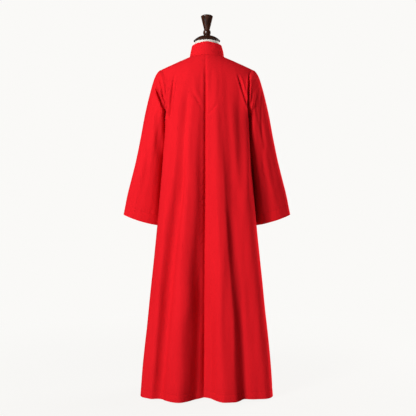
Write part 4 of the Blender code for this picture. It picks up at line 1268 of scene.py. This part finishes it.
WALNUT, DARK_WALNUT = (0.050, 0.0135, 0.0048, 1.0), (0.012, 0.0030, 0.0012, 1.0)
FIGURE_SHARE, PORES_SHARE, PORES_FINER = 0.7, 0.3, 8
WALNUT_BUMPS = 0.25, 0.0002  # strength, distance


def turned_walnut(name, stretch):
    """Polished walnut, its grain drawn out along one direction, under a clear polish."""
    finish, tree, shader = new_finish(name, {"Specular IOR Level": 0.3, "Coat Roughness": 0.12})
    here = own_place(tree)
    figure = noise(here, stretch, 5.0, 0.6)
    pores = noise(here, tuple(PORES_FINER * part for part in stretch), 3.0, 0.7)
    rubbed = noise(here, (60.0, 60.0, 60.0), 3.0, 0.6)
    grain = figure * FIGURE_SHARE + pores * PORES_SHARE
    feed(shader, {
        "Base Color": blend(ranged(grain, 0.40, 0.62), DARK_WALNUT, WALNUT),
        "Roughness": ranged(rubbed, 0.3, 0.7, 0.26, 0.42),
        "Coat Weight": ranged(rubbed, 0.25, 0.75, 0.45, 0.25),
    })
    add_bumps(shader, pores, *WALNUT_BUMPS)
    return finish


cap_shape = [(radius, CAP_FOOT_Z + above) for radius, above in CAP_RIM]
cap_shape += [(radius, CAP_TOP_Z - below) for radius, below in CAP_DOME]
finial_shape = [(FINIAL_STEM, FINIAL_FOOT_Z)]
finial_shape += [(radius, FINIAL_TOP_Z - below) for radius, below in FINIAL_TURNING]
for name, node, shape, stretch in (
    ("walnut_cap", "neck_cap", cap_shape, (14.0, 160.0, 160.0)),
    ("walnut_finial", "finial", finial_shape, (160.0, 160.0, 14.0)),
):
    piece = turned_piece(name, (0, NECK_Y, 0), shape, segments=72, crease_angle=40)
    piece.data.materials.append(turned_walnut(name, stretch))
    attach(piece, "root")
    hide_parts(node)

# The pole and the base
# A steel tube, brushed along its length, stands in the hub of a flat iron plate that is
# painted satin black. The paint is rubbed at the rim and holds a little dust.
STEEL, STAINED_STEEL = (0.60, 0.60, 0.61, 1.0), (0.47, 0.47, 0.48, 1.0)
BLACK, DUST, BARE_IRON = (0.018, 0.018, 0.019, 1.0), (0.075, 0.072, 0.068, 1.0), (0.32, 0.31, 0.30, 1.0)
RIM_X, RIM_Y, RIM_Z = (0.1470, 0.1498), (0.0820, 0.0848), (0.0050, 0.0075)  # where the rim is rubbed
DUST_SHARE, WORN_DEPTH = 0.35, 0.8
STEEL_BUMPS, IRON_BUMPS = (0.18, 0.0001), (0.2, 0.0003)  # strength, distance
steel, tree, shader = new_finish("brushed_steel", {"Metallic": 1.0})
here = own_place(tree)
brushing = noise(here, (2600.0, 2600.0, 9.0), 2.0, 0.6)
stains = noise(here, (24.0, 24.0, 9.0), 3.0, 0.6)
feed(shader, {
    "Base Color": blend(stains, STEEL, STAINED_STEEL),
    "Roughness": ranged(brushing, 0.3, 0.7, 0.26, 0.44),
})
add_bumps(shader, brushing, *STEEL_BUMPS)
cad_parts["pole"].material_slots[0].material = steel

iron, tree, shader = new_finish("black_painted_iron", {})
here = own_place(tree)
x, y, z = axes(here)
peel = noise(here, (420.0, 420.0, 420.0), 2.0, 0.5)
scuffs = noise(here, (34.0, 34.0, 60.0), 5.0, 0.7)
dust = noise(here, (12.0, 12.0, 12.0), 5.0, 0.65)
rim = ranged(x.worked("ABSOLUTE"), *RIM_X).worked("MAXIMUM", ranged(y.worked("ABSOLUTE"), *RIM_Y))
worn = rim * ranged(z, *RIM_Z) * ranged(scuffs, 0.50, 0.60)
paint = blend(ranged(dust, 0.45, 0.80) * DUST_SHARE, BLACK, DUST)
feed(shader, {
    "Base Color": blend(worn, paint, BARE_IRON),
    "Metallic": worn,
    "Roughness": ranged(dust, 0.35, 0.80, 0.34, 0.62),
})
add_bumps(shader, peel - worn * WORN_DEPTH, *IRON_BUMPS)
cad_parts["stand_base"].material_slots[0].material = iron
